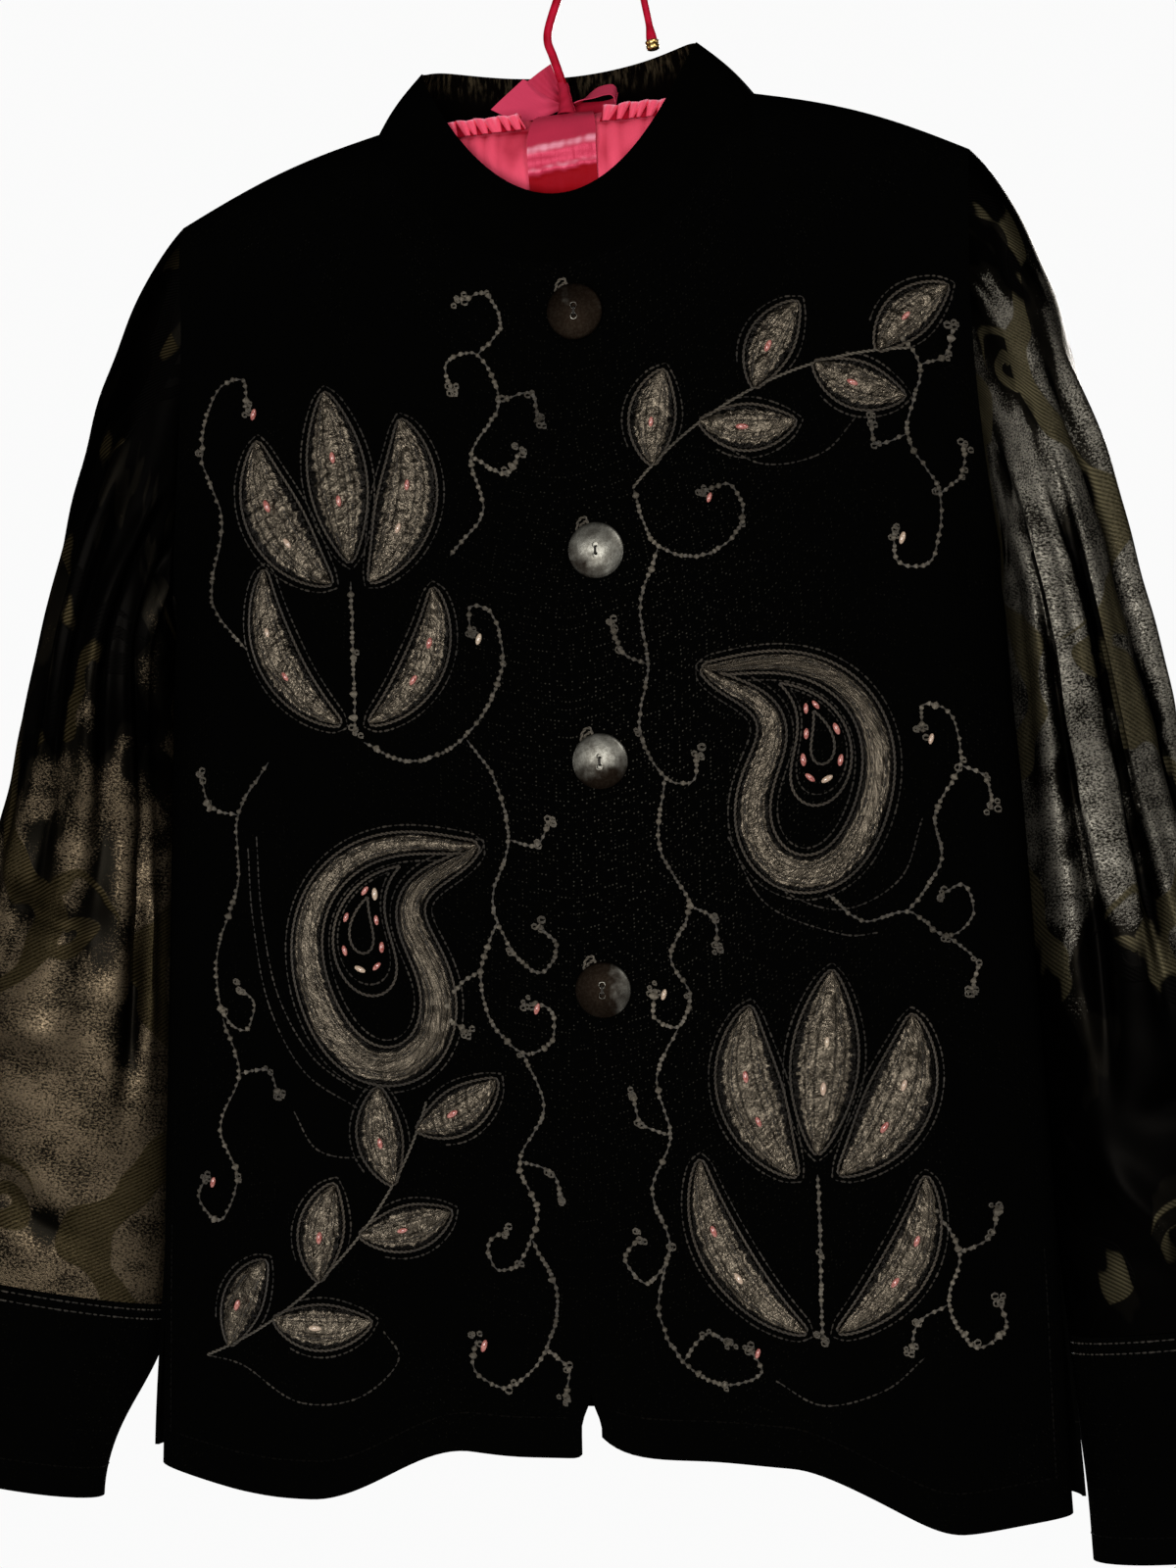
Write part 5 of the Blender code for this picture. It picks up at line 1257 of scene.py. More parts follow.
# Vines of each front by style: the points that each line goes through, as x and z.
vines = {
    ("right", "knotted"): (
        ((-0.108, -0.394), (-0.085, -0.404), (-0.062, -0.398), (-0.044, -0.380), (-0.034, -0.355),
         (-0.039, -0.332), (-0.050, -0.328), (-0.050, -0.341)),
        ((-0.054, -0.394), (-0.040, -0.415), (-0.034, -0.445), (-0.043, -0.475), (-0.034, -0.500),
         (-0.020, -0.512), (-0.011, -0.499), (-0.021, -0.488)),
        ((-0.041, -0.486), (-0.050, -0.510), (-0.046, -0.535), (-0.030, -0.552), (-0.015, -0.546),
         (-0.015, -0.531), (-0.026, -0.527)),
        ((-0.030, -0.552), (-0.020, -0.580), (-0.033, -0.606), (-0.025, -0.632), (-0.034, -0.656),
         (-0.046, -0.660), (-0.050, -0.648), (-0.041, -0.641)),
        ((-0.028, -0.646), (-0.016, -0.672), (-0.022, -0.700), (-0.040, -0.718), (-0.058, -0.711),
         (-0.057, -0.695)),
        ((-0.160, -0.402), (-0.178, -0.430), (-0.179, -0.465), (-0.192, -0.500), (-0.190, -0.530),
         (-0.177, -0.540), (-0.171, -0.526), (-0.180, -0.518)),
        ((-0.190, -0.534), (-0.181, -0.562), (-0.193, -0.590), (-0.184, -0.615), (-0.194, -0.638),
         (-0.207, -0.628), (-0.202, -0.616)),
        ((-0.060, -0.302), (-0.042, -0.280), (-0.047, -0.252), (-0.032, -0.226), (-0.042, -0.202),
         (-0.058, -0.205), (-0.056, -0.219)),
        ((-0.170, -0.345), (-0.189, -0.318), (-0.181, -0.278), (-0.191, -0.244), (-0.182, -0.212),
         (-0.167, -0.207), (-0.165, -0.222)),
        ((-0.047, -0.252), (-0.030, -0.262), (-0.022, -0.251)),
        ((-0.178, -0.430), (-0.194, -0.424), (-0.199, -0.409)),
        ((-0.034, -0.445), (-0.020, -0.448), (-0.013, -0.436)),
        ((-0.033, -0.606), (-0.017, -0.612), (-0.012, -0.626)),
        ((-0.112, -0.312), (-0.112, -0.350), (-0.112, -0.388)),
        ((-0.022, -0.700), (-0.011, -0.710), (-0.013, -0.724)),
        ((-0.032, -0.226), (-0.016, -0.222), (-0.012, -0.236)),
        ((-0.181, -0.562), (-0.164, -0.560), (-0.158, -0.572)),
        ((-0.050, -0.510), (-0.063, -0.519), (-0.068, -0.533), (-0.058, -0.541)),
        ((-0.042, -0.202), (-0.030, -0.188), (-0.037, -0.172), (-0.051, -0.174)),
    ),
    ("right", "stitched"): (
        ((-0.168, -0.440), (-0.166, -0.480), (-0.158, -0.520), (-0.140, -0.552), (-0.118, -0.570)),
        ((-0.173, -0.446), (-0.171, -0.484), (-0.163, -0.526), (-0.144, -0.560), (-0.116, -0.580)),
        ((-0.150, -0.580), (-0.138, -0.600), (-0.116, -0.604), (-0.100, -0.592)),
        ((-0.204, -0.708), (-0.180, -0.712), (-0.150, -0.728), (-0.120, -0.726), (-0.100, -0.708),
         (-0.108, -0.692)),
    ),
    ("left", "knotted"): (
        ((0.034, -0.272), (0.045, -0.300), (0.070, -0.306), (0.088, -0.290), (0.083, -0.272),
         (0.068, -0.275)),
        ((0.046, -0.302), (0.036, -0.330), (0.039, -0.360), (0.034, -0.392), (0.046, -0.416),
         (0.060, -0.418), (0.062, -0.404)),
        ((0.046, -0.416), (0.042, -0.450), (0.056, -0.480), (0.046, -0.505), (0.055, -0.524),
         (0.049, -0.540), (0.037, -0.535), (0.038, -0.521)),
        ((0.124, -0.476), (0.142, -0.490), (0.164, -0.486), (0.182, -0.499), (0.195, -0.489),
         (0.191, -0.474), (0.180, -0.478)),
        ((0.164, -0.486), (0.180, -0.462), (0.178, -0.438), (0.191, -0.414), (0.187, -0.389),
         (0.174, -0.384), (0.173, -0.398)),
        ((0.049, -0.540), (0.037, -0.566), (0.043, -0.595), (0.033, -0.622), (0.041, -0.650),
         (0.030, -0.668), (0.019, -0.656), (0.026, -0.645)),
        ((0.040, -0.652), (0.035, -0.682), (0.046, -0.707), (0.066, -0.719), (0.085, -0.713),
         (0.080, -0.700)),
        ((0.172, -0.632), (0.184, -0.655), (0.178, -0.680), (0.190, -0.702), (0.205, -0.695),
         (0.202, -0.681)),
        ((0.160, -0.192), (0.177, -0.216), (0.170, -0.250), (0.185, -0.280), (0.180, -0.312),
         (0.164, -0.313), (0.162, -0.298)),
        ((0.116, -0.614), (0.116, -0.655), (0.116, -0.696)),
        ((0.039, -0.360), (0.026, -0.353), (0.022, -0.339)),
        ((0.056, -0.480), (0.068, -0.487), (0.069, -0.501)),
        ((0.043, -0.595), (0.029, -0.588), (0.025, -0.574)),
        ((0.185, -0.280), (0.196, -0.270), (0.198, -0.256)),
        ((0.184, -0.655), (0.199, -0.649), (0.203, -0.634)),
        ((0.170, -0.250), (0.155, -0.254), (0.152, -0.242)),
        ((0.182, -0.499), (0.196, -0.512), (0.193, -0.527)),
        ((0.178, -0.680), (0.164, -0.688), (0.159, -0.702)),
        ((0.191, -0.414), (0.203, -0.421), (0.206, -0.436)),
        ((0.046, -0.707), (0.058, -0.694), (0.071, -0.700)),
        ((0.177, -0.216), (0.190, -0.211), (0.194, -0.198)),
    ),
    ("left", "stitched"): (
        ((0.082, -0.440), (0.098, -0.470), (0.130, -0.484), (0.160, -0.470), (0.172, -0.440)),
        ((0.076, -0.446), (0.094, -0.480), (0.130, -0.496), (0.150, -0.496)),
        ((0.070, -0.245), (0.098, -0.262), (0.128, -0.258), (0.146, -0.240)),
        ((0.092, -0.716), (0.116, -0.728), (0.146, -0.722), (0.166, -0.706)),
    ),
}


vine = dict(steps=16, seed=200, stemSteps=60, stemSeed=400)
# Coils at the end and beside the middle of a vine: how many, how far apart; then their radius and steps.
coil = dict(end=(5, 0.0030), middle=(2, 0.0022), radius=(0.0010, 0.0019), flat=0.85, steps=15, seed=300)


# Small coils and tufts: rings of cord scattered round the ends of the vines and beside their middles.
def coils(lines):
    chance = np.random.default_rng(coil["seed"])
    turn = np.linspace(0.0, 2 * math.pi, coil["steps"])
    ring = stacked(np.cos(turn), coil["flat"] * np.sin(turn))
    ropes = []
    for line in lines:
        for spot, (count, spread) in ((line[-1], coil["end"]), (line[len(line) // 2], coil["middle"])):
            for _ in range(count):
                grown = ring * chance.uniform(*coil["radius"])
                ropes.append(rope(spot + chance.uniform(-spread, spread, 2) + grown, "coiled", 0))
    return ropes


# A cord through the points of each vine, with coils, and along the spray's stem.
def makeVines():
    for (name, style), lines in vines.items():
        curves = [through(line, vine["steps"]) for line in lines]
        ropes = [rope(curve, style, seed) for seed, curve in enumerate(curves, vine["seed"])]
        if style == "knotted":
            ropes += coils(lines)
        stem, _ = arcPath(*applique["sprays"][name][:5], vine["stemSteps"])
        ropes.append(rope(stem, "twisted" if style == "knotted" else "stitched", vine["stemSeed"]))
        cordPiece(f"vine_{style}_{name}", ropes, "vine" if style == "knotted" else "thread")


beads = dict(
    half=(0.0014, 0.0030), rings=9, sides=10, sink=0.0003, size=(0.85, 1.12), pink=0.72, ivory=(0.7, 1.0),
    # Places: shares along each kind of patch; round the inside of a drop; off the ends of vines, with a way.
    shares=dict(leaf=(0.45,), petal=(0.36, 0.62), blade=(0.40, 0.66), drop=()),
    dropShares=(0.10, 0.90, 8), dropScale=0.32, tip=(0.004, -0.003), tipWay=(0.3, 0.95),
)


# Long beads: ellipsoids that lie on the cloth or on a patch along a given direction.
def makeBeads(shapes):
    places = []
    for _, kind, path, _ in shapes:
        ahead, _ = flatFrame(path)
        for share in beads["shares"][kind]:
            at = int(share * (len(path) - 1))
            places.append((*path[at], *ahead[at], patchLift(0.0)))
    for *drop, _ in applique["drops"].values():
        path = dropPath(*drop, np.linspace(*beads["dropShares"]), beads["dropScale"])
        ahead, _ = flatFrame(path)
        places += [(*point, *way, 0.0) for point, way in zip(path, ahead)]
    for name in sides:
        for line in vines[name, "knotted"][:9:2]:
            places.append((*np.add(line[-1], beads["tip"]), *beads["tipWay"], 0.0))
    x, z, aheadX, aheadZ, lift = np.array(places).T
    short, long = beads["half"]
    points, normals = onFront(stacked(x, z), lift + short - beads["sink"])
    along = stacked(aheadX, 0.0, aheadZ)
    along = unit(along - np.sum(along * normals, axis=-1, keepdims=True) * normals)
    frames = np.stack((along, normals, np.cross(along, normals)), axis=1)
    level = np.linspace(-math.pi / 2, math.pi / 2, beads["rings"])[:, None]
    around, girth = roundAngles(beads["sides"]), short * np.cos(level)
    shape = stacked(long * np.sin(level), girth * np.cos(around), girth * np.sin(around))
    size = dice.uniform(*beads["size"], (len(x), 1, 1, 1))
    grids = points[:, None, None] + np.einsum("rsk,nkd->nrsd", shape, frames) * size
    tones = (dice.random(len(x)) > beads["pink"]) * dice.uniform(*beads["ivory"], len(x))
    made = [(*ringMesh(grid), np.full(shape[..., 0].size, tone)) for grid, tone in zip(grids, tones)]
    newPiece("glass_beads", joined(made), "bead")


button = dict(
    places=((0.008, -0.183), (0.015, -0.302), (0.014, -0.407), (0.012, -0.521)),
    radius=0.014, stand=0.0014, edge=0.0024, crown=0.0046, shank=0.0022, footShare=0.93, sides=72,
    holeRadius=0.0015, holePitch=0.005, holeDepth=0.0026, holeOver=0.012, holeSides=28, sharpTurn=40,
    # Outline of the lip as shares of the radius and the edge; then where the dome starts and would end.
    lip=((0.985, 0.20), (1.0, 0.40), (1.0, 0.62), (0.990, 0.80), (0.972, 0.93)),
    domeStart=0.945, domeEnd=0.96, domeSteps=16, stainShadeSlope=0.55,
    threadApart=0.0003, threadRadius=0.00032, threadLift=0.0002, threadDip=0.0022, threadTurns=18.0,
    threadSteps=26, threadSides=8, threadStrand=0.2, threadBend=0.62, threadBendRun=0.38,
    # Stains and painted shade: heading of the darker side, how dark the button is all over, how far it
    # reaches.
    stainAndShade=((250, 1.00, 0.3), (235, 0.00, 0.26), (280, 0.14, 0.38), (180, 0.24, 0.80)),
)


# Rings of a body turned about the outward axis: radius and height at each step.
def turned(profile, steps, middle=0.0):
    radius, height = np.array(profile).T[..., None]
    around = roundAngles(steps)
    return stacked(radius * np.cos(around), middle + radius * np.sin(around), height)


# Local x, z and height at a place on the front become points: across, up and out of the cloth.
def standOn(place, local):
    point, normal = onFront(np.array(place))
    up = unit(np.array((0.0, 0.0, 1.0)) - normal[2] * normal)
    across = np.cross(up, normal) * np.sign(np.cross(up, normal)[0])
    return point + local[..., :1] * across + local[..., 1:2] * up + local[..., 2:] * normal


# A domed button: a turned body with a lip, from which two holes are cut. Stains and painted shade gather
# towards one side, which differs from button to button.
def makeButton(order, place):
    back, wide, shank, seat = button["stand"], button["radius"], button["shank"], cloth["seam"]
    dome = np.linspace(button["domeStart"], 0.0, button["domeSteps"])
    swell = (button["crown"] / button["edge"] - 1.0) * (1.0 - (dome / button["domeEnd"]) ** 2)
    face = np.concatenate((button["lip"], stacked(dome, 1.0 + swell))) * (wide, button["edge"]) + (0.0, back)
    foot = ((0.0, seat), (shank, seat), (shank, back), (wide * button["footShare"], back))
    grid = turned(np.concatenate((foot, face)), button["sides"])
    heading, more, reach = button["stainAndShade"][order - 1]
    turn = math.radians(heading)
    aside = (grid[..., 0] * math.cos(turn) + grid[..., 1] * math.sin(turn)) / wide
    # Stains and painted shade rise towards the button's darker side.
    stainAndShade = more + smooth(aside * button["stainShadeSlope"] + reach)
    parts = (*ringMesh(standOn(place, grid)), stainAndShade.ravel())
    piece = newPiece(f"pewter_button_{order}", parts, "button")
    hole, high = button["holeRadius"], back + button["holeOver"]
    deep = back + button["crown"] - button["holeDepth"]
    for up in (-0.5, 0.5):
        profile = ((0.0, deep), (hole, deep), (hole, high), (0.0, high))
        cutter = turned(profile, button["holeSides"], up * button["holePitch"])
        cutHole(piece, *ringMesh(standOn(place, cutter)))
    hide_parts(f"button_{order}")


# Takes a closed shape away from a piece, and keeps the result as its mesh.
def cutHole(piece, points, quads):
    placed = points + np.array((centreX, 0.0, 0.0))
    cutter = newObject("hole_cutter", plainMesh("hole_cutter", placed, quads))
    step = piece.modifiers.new("hole", "BOOLEAN")
    step.operation, step.object, step.solver = "DIFFERENCE", cutter, "EXACT"
    bpy.context.view_layer.update()
    pierced = bpy.data.meshes.new_from_object(piece.evaluated_get(bpy.context.evaluated_depsgraph_get()))
    piece.modifiers.clear()
    pierced.name, piece.data = piece.data.name, pierced
    pierced.set_sharp_from_angle(angle=math.radians(button["sharpTurn"]))
    bpy.data.objects.remove(cutter, do_unlink=True)


# Thread through a button's holes: two strands side by side that dip into both holes.
def makeButtonThreads():
    ropes = []
    way = np.linspace(-1.0, 1.0, button["threadSteps"])[:, None]
    around = roundAngles(button["threadSides"])
    strand = np.cos(2 * around + way * button["threadTurns"])
    radius = button["threadRadius"] * (np.abs(way) != 1.0) * (1.0 + button["threadStrand"] * strand)
    top = button["stand"] + button["crown"] + button["threadLift"]
    bend = smooth((np.abs(way) - button["threadBend"]) / button["threadBendRun"])
    height = top - button["threadDip"] * bend
    for place in button["places"]:
        for side in (-button["threadApart"], button["threadApart"]):
            x = side + radius * np.cos(around)
            grid = stacked(x, way * button["holePitch"] / 2, height + radius * np.sin(around))
            # The mark is painted light on the thread's raised strands.
            ropes.append((*ringMesh(standOn(place, grid)), (0.5 + 0.5 * strand).ravel()))
    cordPiece("button_threads", ropes, "thread")


sewing = dict(
    cuffRows=(0.0032, 0.0085), cuffHem=0.099, hem=0.02, hemReach=(0.012, 0.226, 90), vent=0.007,
    ventReach=(-0.650, -0.762, 60), loopSizes=(1.0, 0.86), loopSteps=10, cuffSteps=60,
    loop=((-0.0098, 0.0095), (-0.0086, 0.0150), (-0.0052, 0.0168), (-0.0036, 0.0125)),
)


# A face read from a closed grid: metres round from its first column and metres down give points and normals.
def onGrid(grid):
    both = np.concatenate((hang(grid), tubeNormals(grid)), axis=-1)
    columns = grid.shape[1]
    girth = stepLengths(grid, 1).sum(axis=1).max()
    length = stepLengths(grid).sum(axis=0).mean()

    def face(flat, lift=0.0):
        column = flat[..., 0] / girth * columns
        row = np.clip(flat[..., 1] / length, 0.0, 0.9999) * (len(grid) - 1)
        left, upper = np.floor(column).astype(int), np.floor(row).astype(int)
        a, b = (column - left)[..., None], (row - upper)[..., None]
        left, right = left % columns, (left + 1) % columns
        mixed = (both[upper, left] * (1 - a) + both[upper, right] * a) * (1 - b)
        mixed = mixed + (both[upper + 1, left] * (1 - a) + both[upper + 1, right] * a) * b
        out = unit(mixed[..., 3:])
        return mixed[..., :3] + np.asarray(lift)[..., None] * out, out

    return face, girth


# Rows of stitches round the cuffs and along the vents and the hem; a thread loop by each button.
def makeSewing(cuffs):
    shown, quiet, loops = [], [], []
    for cuff in cuffs:
        face, girth = onGrid(cuff)
        for down in (*sewing["cuffRows"], sewing["cuffHem"]):
            group = quiet if down == sewing["cuffHem"] else shown
            line = stacked(np.linspace(0.0, girth, sewing["cuffSteps"]), down)
            group.append(rope(line, "stitched", 0, face=face))
    for side in (-1, 1):
        across, falls = np.linspace(*sewing["hemReach"]), np.linspace(*sewing["ventReach"])
        vents = (panelX(falls, "front") - sewing["vent"], falls)
        for x, z in (vents, (across, hemZ(across, side, "front") + sewing["hem"])):
            quiet.append(rope(stacked(side * x, z + side * x * leanAt(z)), "stitched", 0))
    for place in button["places"]:
        for size in sewing["loopSizes"]:
            line = through(place + np.array(sewing["loop"]) * size, sewing["loopSteps"])
            loops.append(rope(line, "twisted", 0))
    cordPiece("sewing_shown", shown, "thread")
    cordPiece("sewing_quiet", quiet, "darkThread")
    cordPiece("button_loops", loops, "vine")


shapes = patchShapes()
makePatches(shapes)
makeOutlines(shapes)
makeVines()
makeBeads(shapes)
for order, place in enumerate(button["places"], 1):
    makeButton(order, place)
makeButtonThreads()
makeSewing(cuffs)
print("sewing made")


hanger = dict(
    half=0.188, topZ=-0.0756, knee=0.0968, kneeSoft=0.02, rise=0.026, depth=0.02, end=0.022,
    columns=280, sides=64, gather=0.0012, gatherPitch=0.0088, gatherStray=0.031, broadPitch=0.03,
    seamTurn=45.0, seamSoft=4.0, fill=0.8,
)
ribbon = dict(
    topHalf=0.014, frontHalf=0.0176, widenTurn=70.0, seat=0.0004, wall=0.0005, fold=0.0015, ply=0.0013,
    crestTurn=77.0, edgeTurn=99.0, slant=4.0, ripple=0.00022, ripplePitch=0.012, glint=0.004,
    columns=54, sides=120,
)
ruffle = dict(
    start=0.019, end=0.079, height=0.0082, waves=11, swing=0.0026, wall=0.0005, turn=45.0, sewnIn=0.002,
    lean=0.003, roll=0.0022, brim=0.86, brimRun=0.1, columns=330, rows=11,
)
hook = dict(
    wire=0.0022, thin=0.0004, flare=0.001, arcZ=-0.02, arcTurn=152, middleX=0.0195, sides=24,
    stem=((0.0, -0.0738), (-0.0012, -0.0620), (-0.0060, -0.0460), (-0.0088, -0.0370), (-0.0072, -0.0275)),
    end=((0.0437, -0.0310), (0.0450, -0.0400)), arcSteps=8, curveSteps=14,
    # Shares of the way where the tube starts to thin and to flare, and over which it does so.
    thinAt=(0.6, 0.2), flareAt=(0.93, 0.07),
    # Outline of the cap as shares of its radius and length.
    tipRadius=0.0036, tipLength=0.005, tipSides=40,
    tipWide=(0.80, 0.98, 1.0, 0.98, 0.90, 0.95, 0.95, 0.88, 0.62),
    tipAlong=(0.0, 0.06, 0.18, 0.32, 0.40, 0.48, 0.74, 0.90, 1.0),
)


# Upper line of the pad: level in the middle, then down the shoulders.
def padTop(x):
    slope = (body["neckZ"] - body["shoulderZ"]) / (body["shoulderHalf"] - body["neckHalf"])
    past = np.abs(x) - hanger["knee"]
    return hanger["topZ"] - slope * (past + np.sqrt(past**2 + hanger["kneeSoft"] ** 2)) / 2


# Oval sections of the pad, grown by an amount; the angle runs from the back over the top to the front.
def padRings(x, angles, grow):
    past = limited((np.abs(x) - (hanger["half"] - hanger["end"])) / hanger["end"])
    size = np.sqrt(1.0 - past**2)
    y = (hanger["depth"] + grow) * size * np.cos(angles)
    z = padTop(x) - hanger["rise"] + (hanger["rise"] + grow) * size * np.sin(angles)
    return stacked(x, y, z)


# Degrees from the pad's upper line.
def fromTop(angles):
    return np.abs((np.degrees(angles) - 90.0 + 180.0) % 360.0 - 180.0)


# The pad's satin is gathered: uneven troughs run round it, deepest at the seams under the ruffles.
def makePad():
    turn = np.linspace(-math.pi / 2, math.pi / 2, hanger["columns"])[:, None]
    x = hanger["half"] * (0.9 * turn / (math.pi / 2) + 0.1 * np.sin(turn))
    angles = roundAngles(hanger["sides"])
    away = fromTop(angles)
    way = x / hanger["gatherPitch"] + 0.5 * ripple(x, 0.0, hanger["gatherStray"], 31)
    trough = 0.5 - 0.5 * np.cos(2 * math.pi * (way + 0.10 * np.sin(3 * angles)))
    broad = 0.5 + 0.5 * ripple(x, 0.01 * angles, hanger["broadPitch"], 33)
    stitched = bell((away - hanger["seamTurn"]) / hanger["seamSoft"])
    depth = trough * (0.35 + 0.65 * np.exp(-away / 45.0)) + 0.8 * broad * smooth(away / 40.0)
    outer = hang(padRings(x, angles, -hanger["gather"] * (depth + 0.5 * stitched)))
    # Painted shade in the gathers' troughs near the top, on the underside and over broad dents; a darker
    # line along the seam.
    shade = 0.45 * trough * np.exp(-away / 60.0) + 0.35 * stitched + 0.7 * smooth((away - 110) / 60)
    shade = limited(shade + 0.55 * smooth((broad - 0.55) / 0.5) + 0.20 * trough**3)
    parts = (*ringMesh(outer), shade.ravel(), cutGrid(outer).reshape(-1, 2))
    piece = newPiece("satin_pad", parts, "pad")
    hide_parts("hanger_pad")
    return piece


# A satin piece from its outer and inner grids, with a shade value at each point.
def satinPiece(name, outer, inner, shade, finish, node, closed=False):
    shade = np.clip(shade, -1.0, 1.0)
    piece = newPiece(name, shell(outer, inner, shade, shade, cutGrid(outer), closed), finish)
    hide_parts(node)


# The ribbon goes round the pad, narrower at the top, with a rounded fold and a scalloped layer in front. Its
# crest and its edge shine with painted highlights, and below the edge it is darkened by painted shade.
def makeRibbon():
    share = np.linspace(-1.0, 1.0, ribbon["columns"])[:, None]
    angles = roundAngles(ribbon["sides"])
    away = fromTop(angles)
    widen = smooth(away / ribbon["widenTurn"])
    x = share * blend(ribbon["topHalf"], ribbon["frontHalf"], widen)
    slant = ribbon["slant"] * share
    edge = ribbon["edgeTurn"] + 0.8 * np.sin(share * 7.0 + 0.5) + 0.5 * np.sin(share * 17.0 + 1.0) - slant
    layer = (1.0 - smooth((away - edge) / 5.0)) * smooth((away - 15.0) / 30.0)
    past = away - ribbon["crestTurn"]
    crest = bell((past + slant) / 10.0) - 0.5 * bell((past - 14.0) / 7.0)
    pinch = 0.4 * bell(share / 0.06) * (1.0 - widen)
    lift = ribbon["ply"] * layer + ribbon["fold"] * (crest - pinch)
    lift = lift + ribbon["ripple"] * ripple(x, 0.02 * angles, ribbon["ripplePitch"], 41)
    grow = ribbon["seat"] + ribbon["wall"] + np.maximum(lift, 0.0)
    outer, inner = hang(padRings(x, angles, grow)), hang(padRings(x, angles, grow - ribbon["wall"]))
    # Painted shade below the scalloped edge, a little darker near the top, and painted highlight lines at
    # the crest and the edge.
    shade = smooth((away - edge + 1.0) / 5.0) + 0.16 * (1.0 - smooth((away - 8.0) / 40.0))
    lines = bell((past + 2.0 + slant) / 4.5) + 0.55 * bell((away - edge + 4.0) / 3.0)
    shade = shade - (0.62 + 0.25 * ripple(x, 0.004 * angles, ribbon["glint"], 43)) * lines
    satinPiece("satin_ribbon", outer, inner, shade, "ribbon", "hanger_ribbon", True)


# A gathered strip sewn to the pad's front below its upper line: sharp pleats that lean and flutter on top.
def makeRuffles():
    share = evenShares(ruffle["columns"])
    rise = np.linspace(1.0, 0.0, ruffle["rows"])[:, None]
    turn = math.radians(ruffle["turn"])
    foot = -hanger["depth"] * math.sin(turn) - cloth["seam"] - ruffle["wall"] - ruffle["swing"] / 4
    brim = smooth((rise - ruffle["brim"]) / ruffle["brimRun"])
    for name, side in sides.items():
        phase = 2 * math.pi * ruffle["waves"] * share + 1.2 * np.sin(share * 17.0 + side)
        phase = phase + 0.7 * np.sin(share * 41.0)
        wave = np.sign(np.sin(phase)) * np.abs(np.sin(phase)) ** 0.9
        x = blend(ruffle["start"], ruffle["end"], share)
        x = x + (ruffle["roll"] * np.cos(phase) + ruffle["lean"]) * rise
        high = ruffle["height"] * rise * (0.92 + 0.10 * np.sin(phase * 0.5 + 1.0))
        z = padTop(x) - hanger["rise"] * (1.0 - math.cos(turn)) + high
        outer = stacked(side * x, foot + ruffle["swing"] * wave * (0.25 + 0.75 * rise), z)
        inner = outer - ruffle["wall"] * gridNormals(outer, (0.0, -1.0, 0.0))
        # Painted shade in the recesses between pleats and along the foot; painted highlights on the brim and
        # the foremost folds.
        shade = smooth((wave + 0.30) / 0.6) * (1.0 - 0.55 * brim) + 0.4 * (1.0 - smooth(rise / 0.12))
        shade = shade - 0.35 * brim - 0.40 * bell((wave + 0.70) / 0.22) * rise
        satinPiece(
            "satin_ruffle_" + name, hang(outer), hang(inner), shade, "pad", "hanger_ruffle_" + name,
        )


# A round tube in the hook's plane along a path of x and z, with a radius at each point and closed ends.
def planeTube(path, radius, steps):
    ahead = unit(np.gradient(path, axis=0))
    path, ahead = (np.concatenate((line[:1], line, line[-1:])) for line in (path, ahead))
    radius = np.concatenate(([0.0], radius, [0.0]))[:, None]
    around = roundAngles(steps)
    x = path[:, :1] - radius * ahead[:, 1:] * np.cos(around)
    z = path[:, 1:] + radius * ahead[:, :1] * np.cos(around)
    return ringMesh(stacked(x, radius * np.sin(around), z))


# The hook: a covered wire that widens into its wrapped foot and its end, and a turned gold cap on that end.
def makeHook():
    reach = hook["wire"] - hook["arcZ"]
    turn = np.linspace(math.radians(hook["arcTurn"]), 0.0, hook["arcSteps"])
    arc = stacked(hook["middleX"] + reach * np.cos(turn), hook["arcZ"] + reach * np.sin(turn))
    path = through(np.concatenate((hook["stem"], arc, hook["end"])), hook["curveSteps"])
    share = evenShares(len(path))
    thin, flare = (smooth((share - start) / run) for start, run in (hook["thinAt"], hook["flareAt"]))
    radius = hook["wire"] - hook["thin"] * thin + hook["flare"] * flare
    tube = newPiece("hook_tube", planeTube(path, radius, hook["sides"]), "tube")
    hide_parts("hanger_hook")
    wide = np.array(hook["tipWide"]) * hook["tipRadius"]
    along = np.array(hook["tipAlong"]) * hook["tipLength"]
    line = path[-1] + (cloth["seam"] + along)[:, None] * unit(path[-1] - path[-2])
    cap = newPiece("hook_cap", planeTube(line, wide, hook["tipSides"]), "gold")
    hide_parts("hanger_tip")


bow = dict(
    wall=0.0004, y=0.0066, pleat=0.0003, pleats=15.0, wave=0.0014, along=40, across=30,
    # Corners of each strip as x and z: root upper, root lower, end upper, end lower; then its belly.
    tail=((-0.0046, -0.0640), (-0.0040, -0.0705), (-0.0235, -0.0540), (-0.0405, -0.0690), 0.0060),
    stand=((-0.0040, -0.0610), (-0.0035, -0.0680), (-0.0085, -0.0474), (-0.0210, -0.0555), 0.0015),
    loopPath=(
        (0.0030, -0.0690), (0.0095, -0.0655), (0.0165, -0.0628), (0.0225, -0.0622), (0.0248, -0.0650),
        (0.0240, -0.0690), (0.0180, -0.0712), (0.0100, -0.0715), (0.0030, -0.0712),
    ),
    loopSteps=90, loopAcross=16, loopHalf=0.0042, loopTilt=0.0034,
    knotZ=(-0.0590, -0.0655, -0.0708, -0.0748), knotRadius=(0.0024, 0.0027, 0.0035, 0.0046),
    knotWrap=0.00016, knotSteps=28, knotSides=48,
)


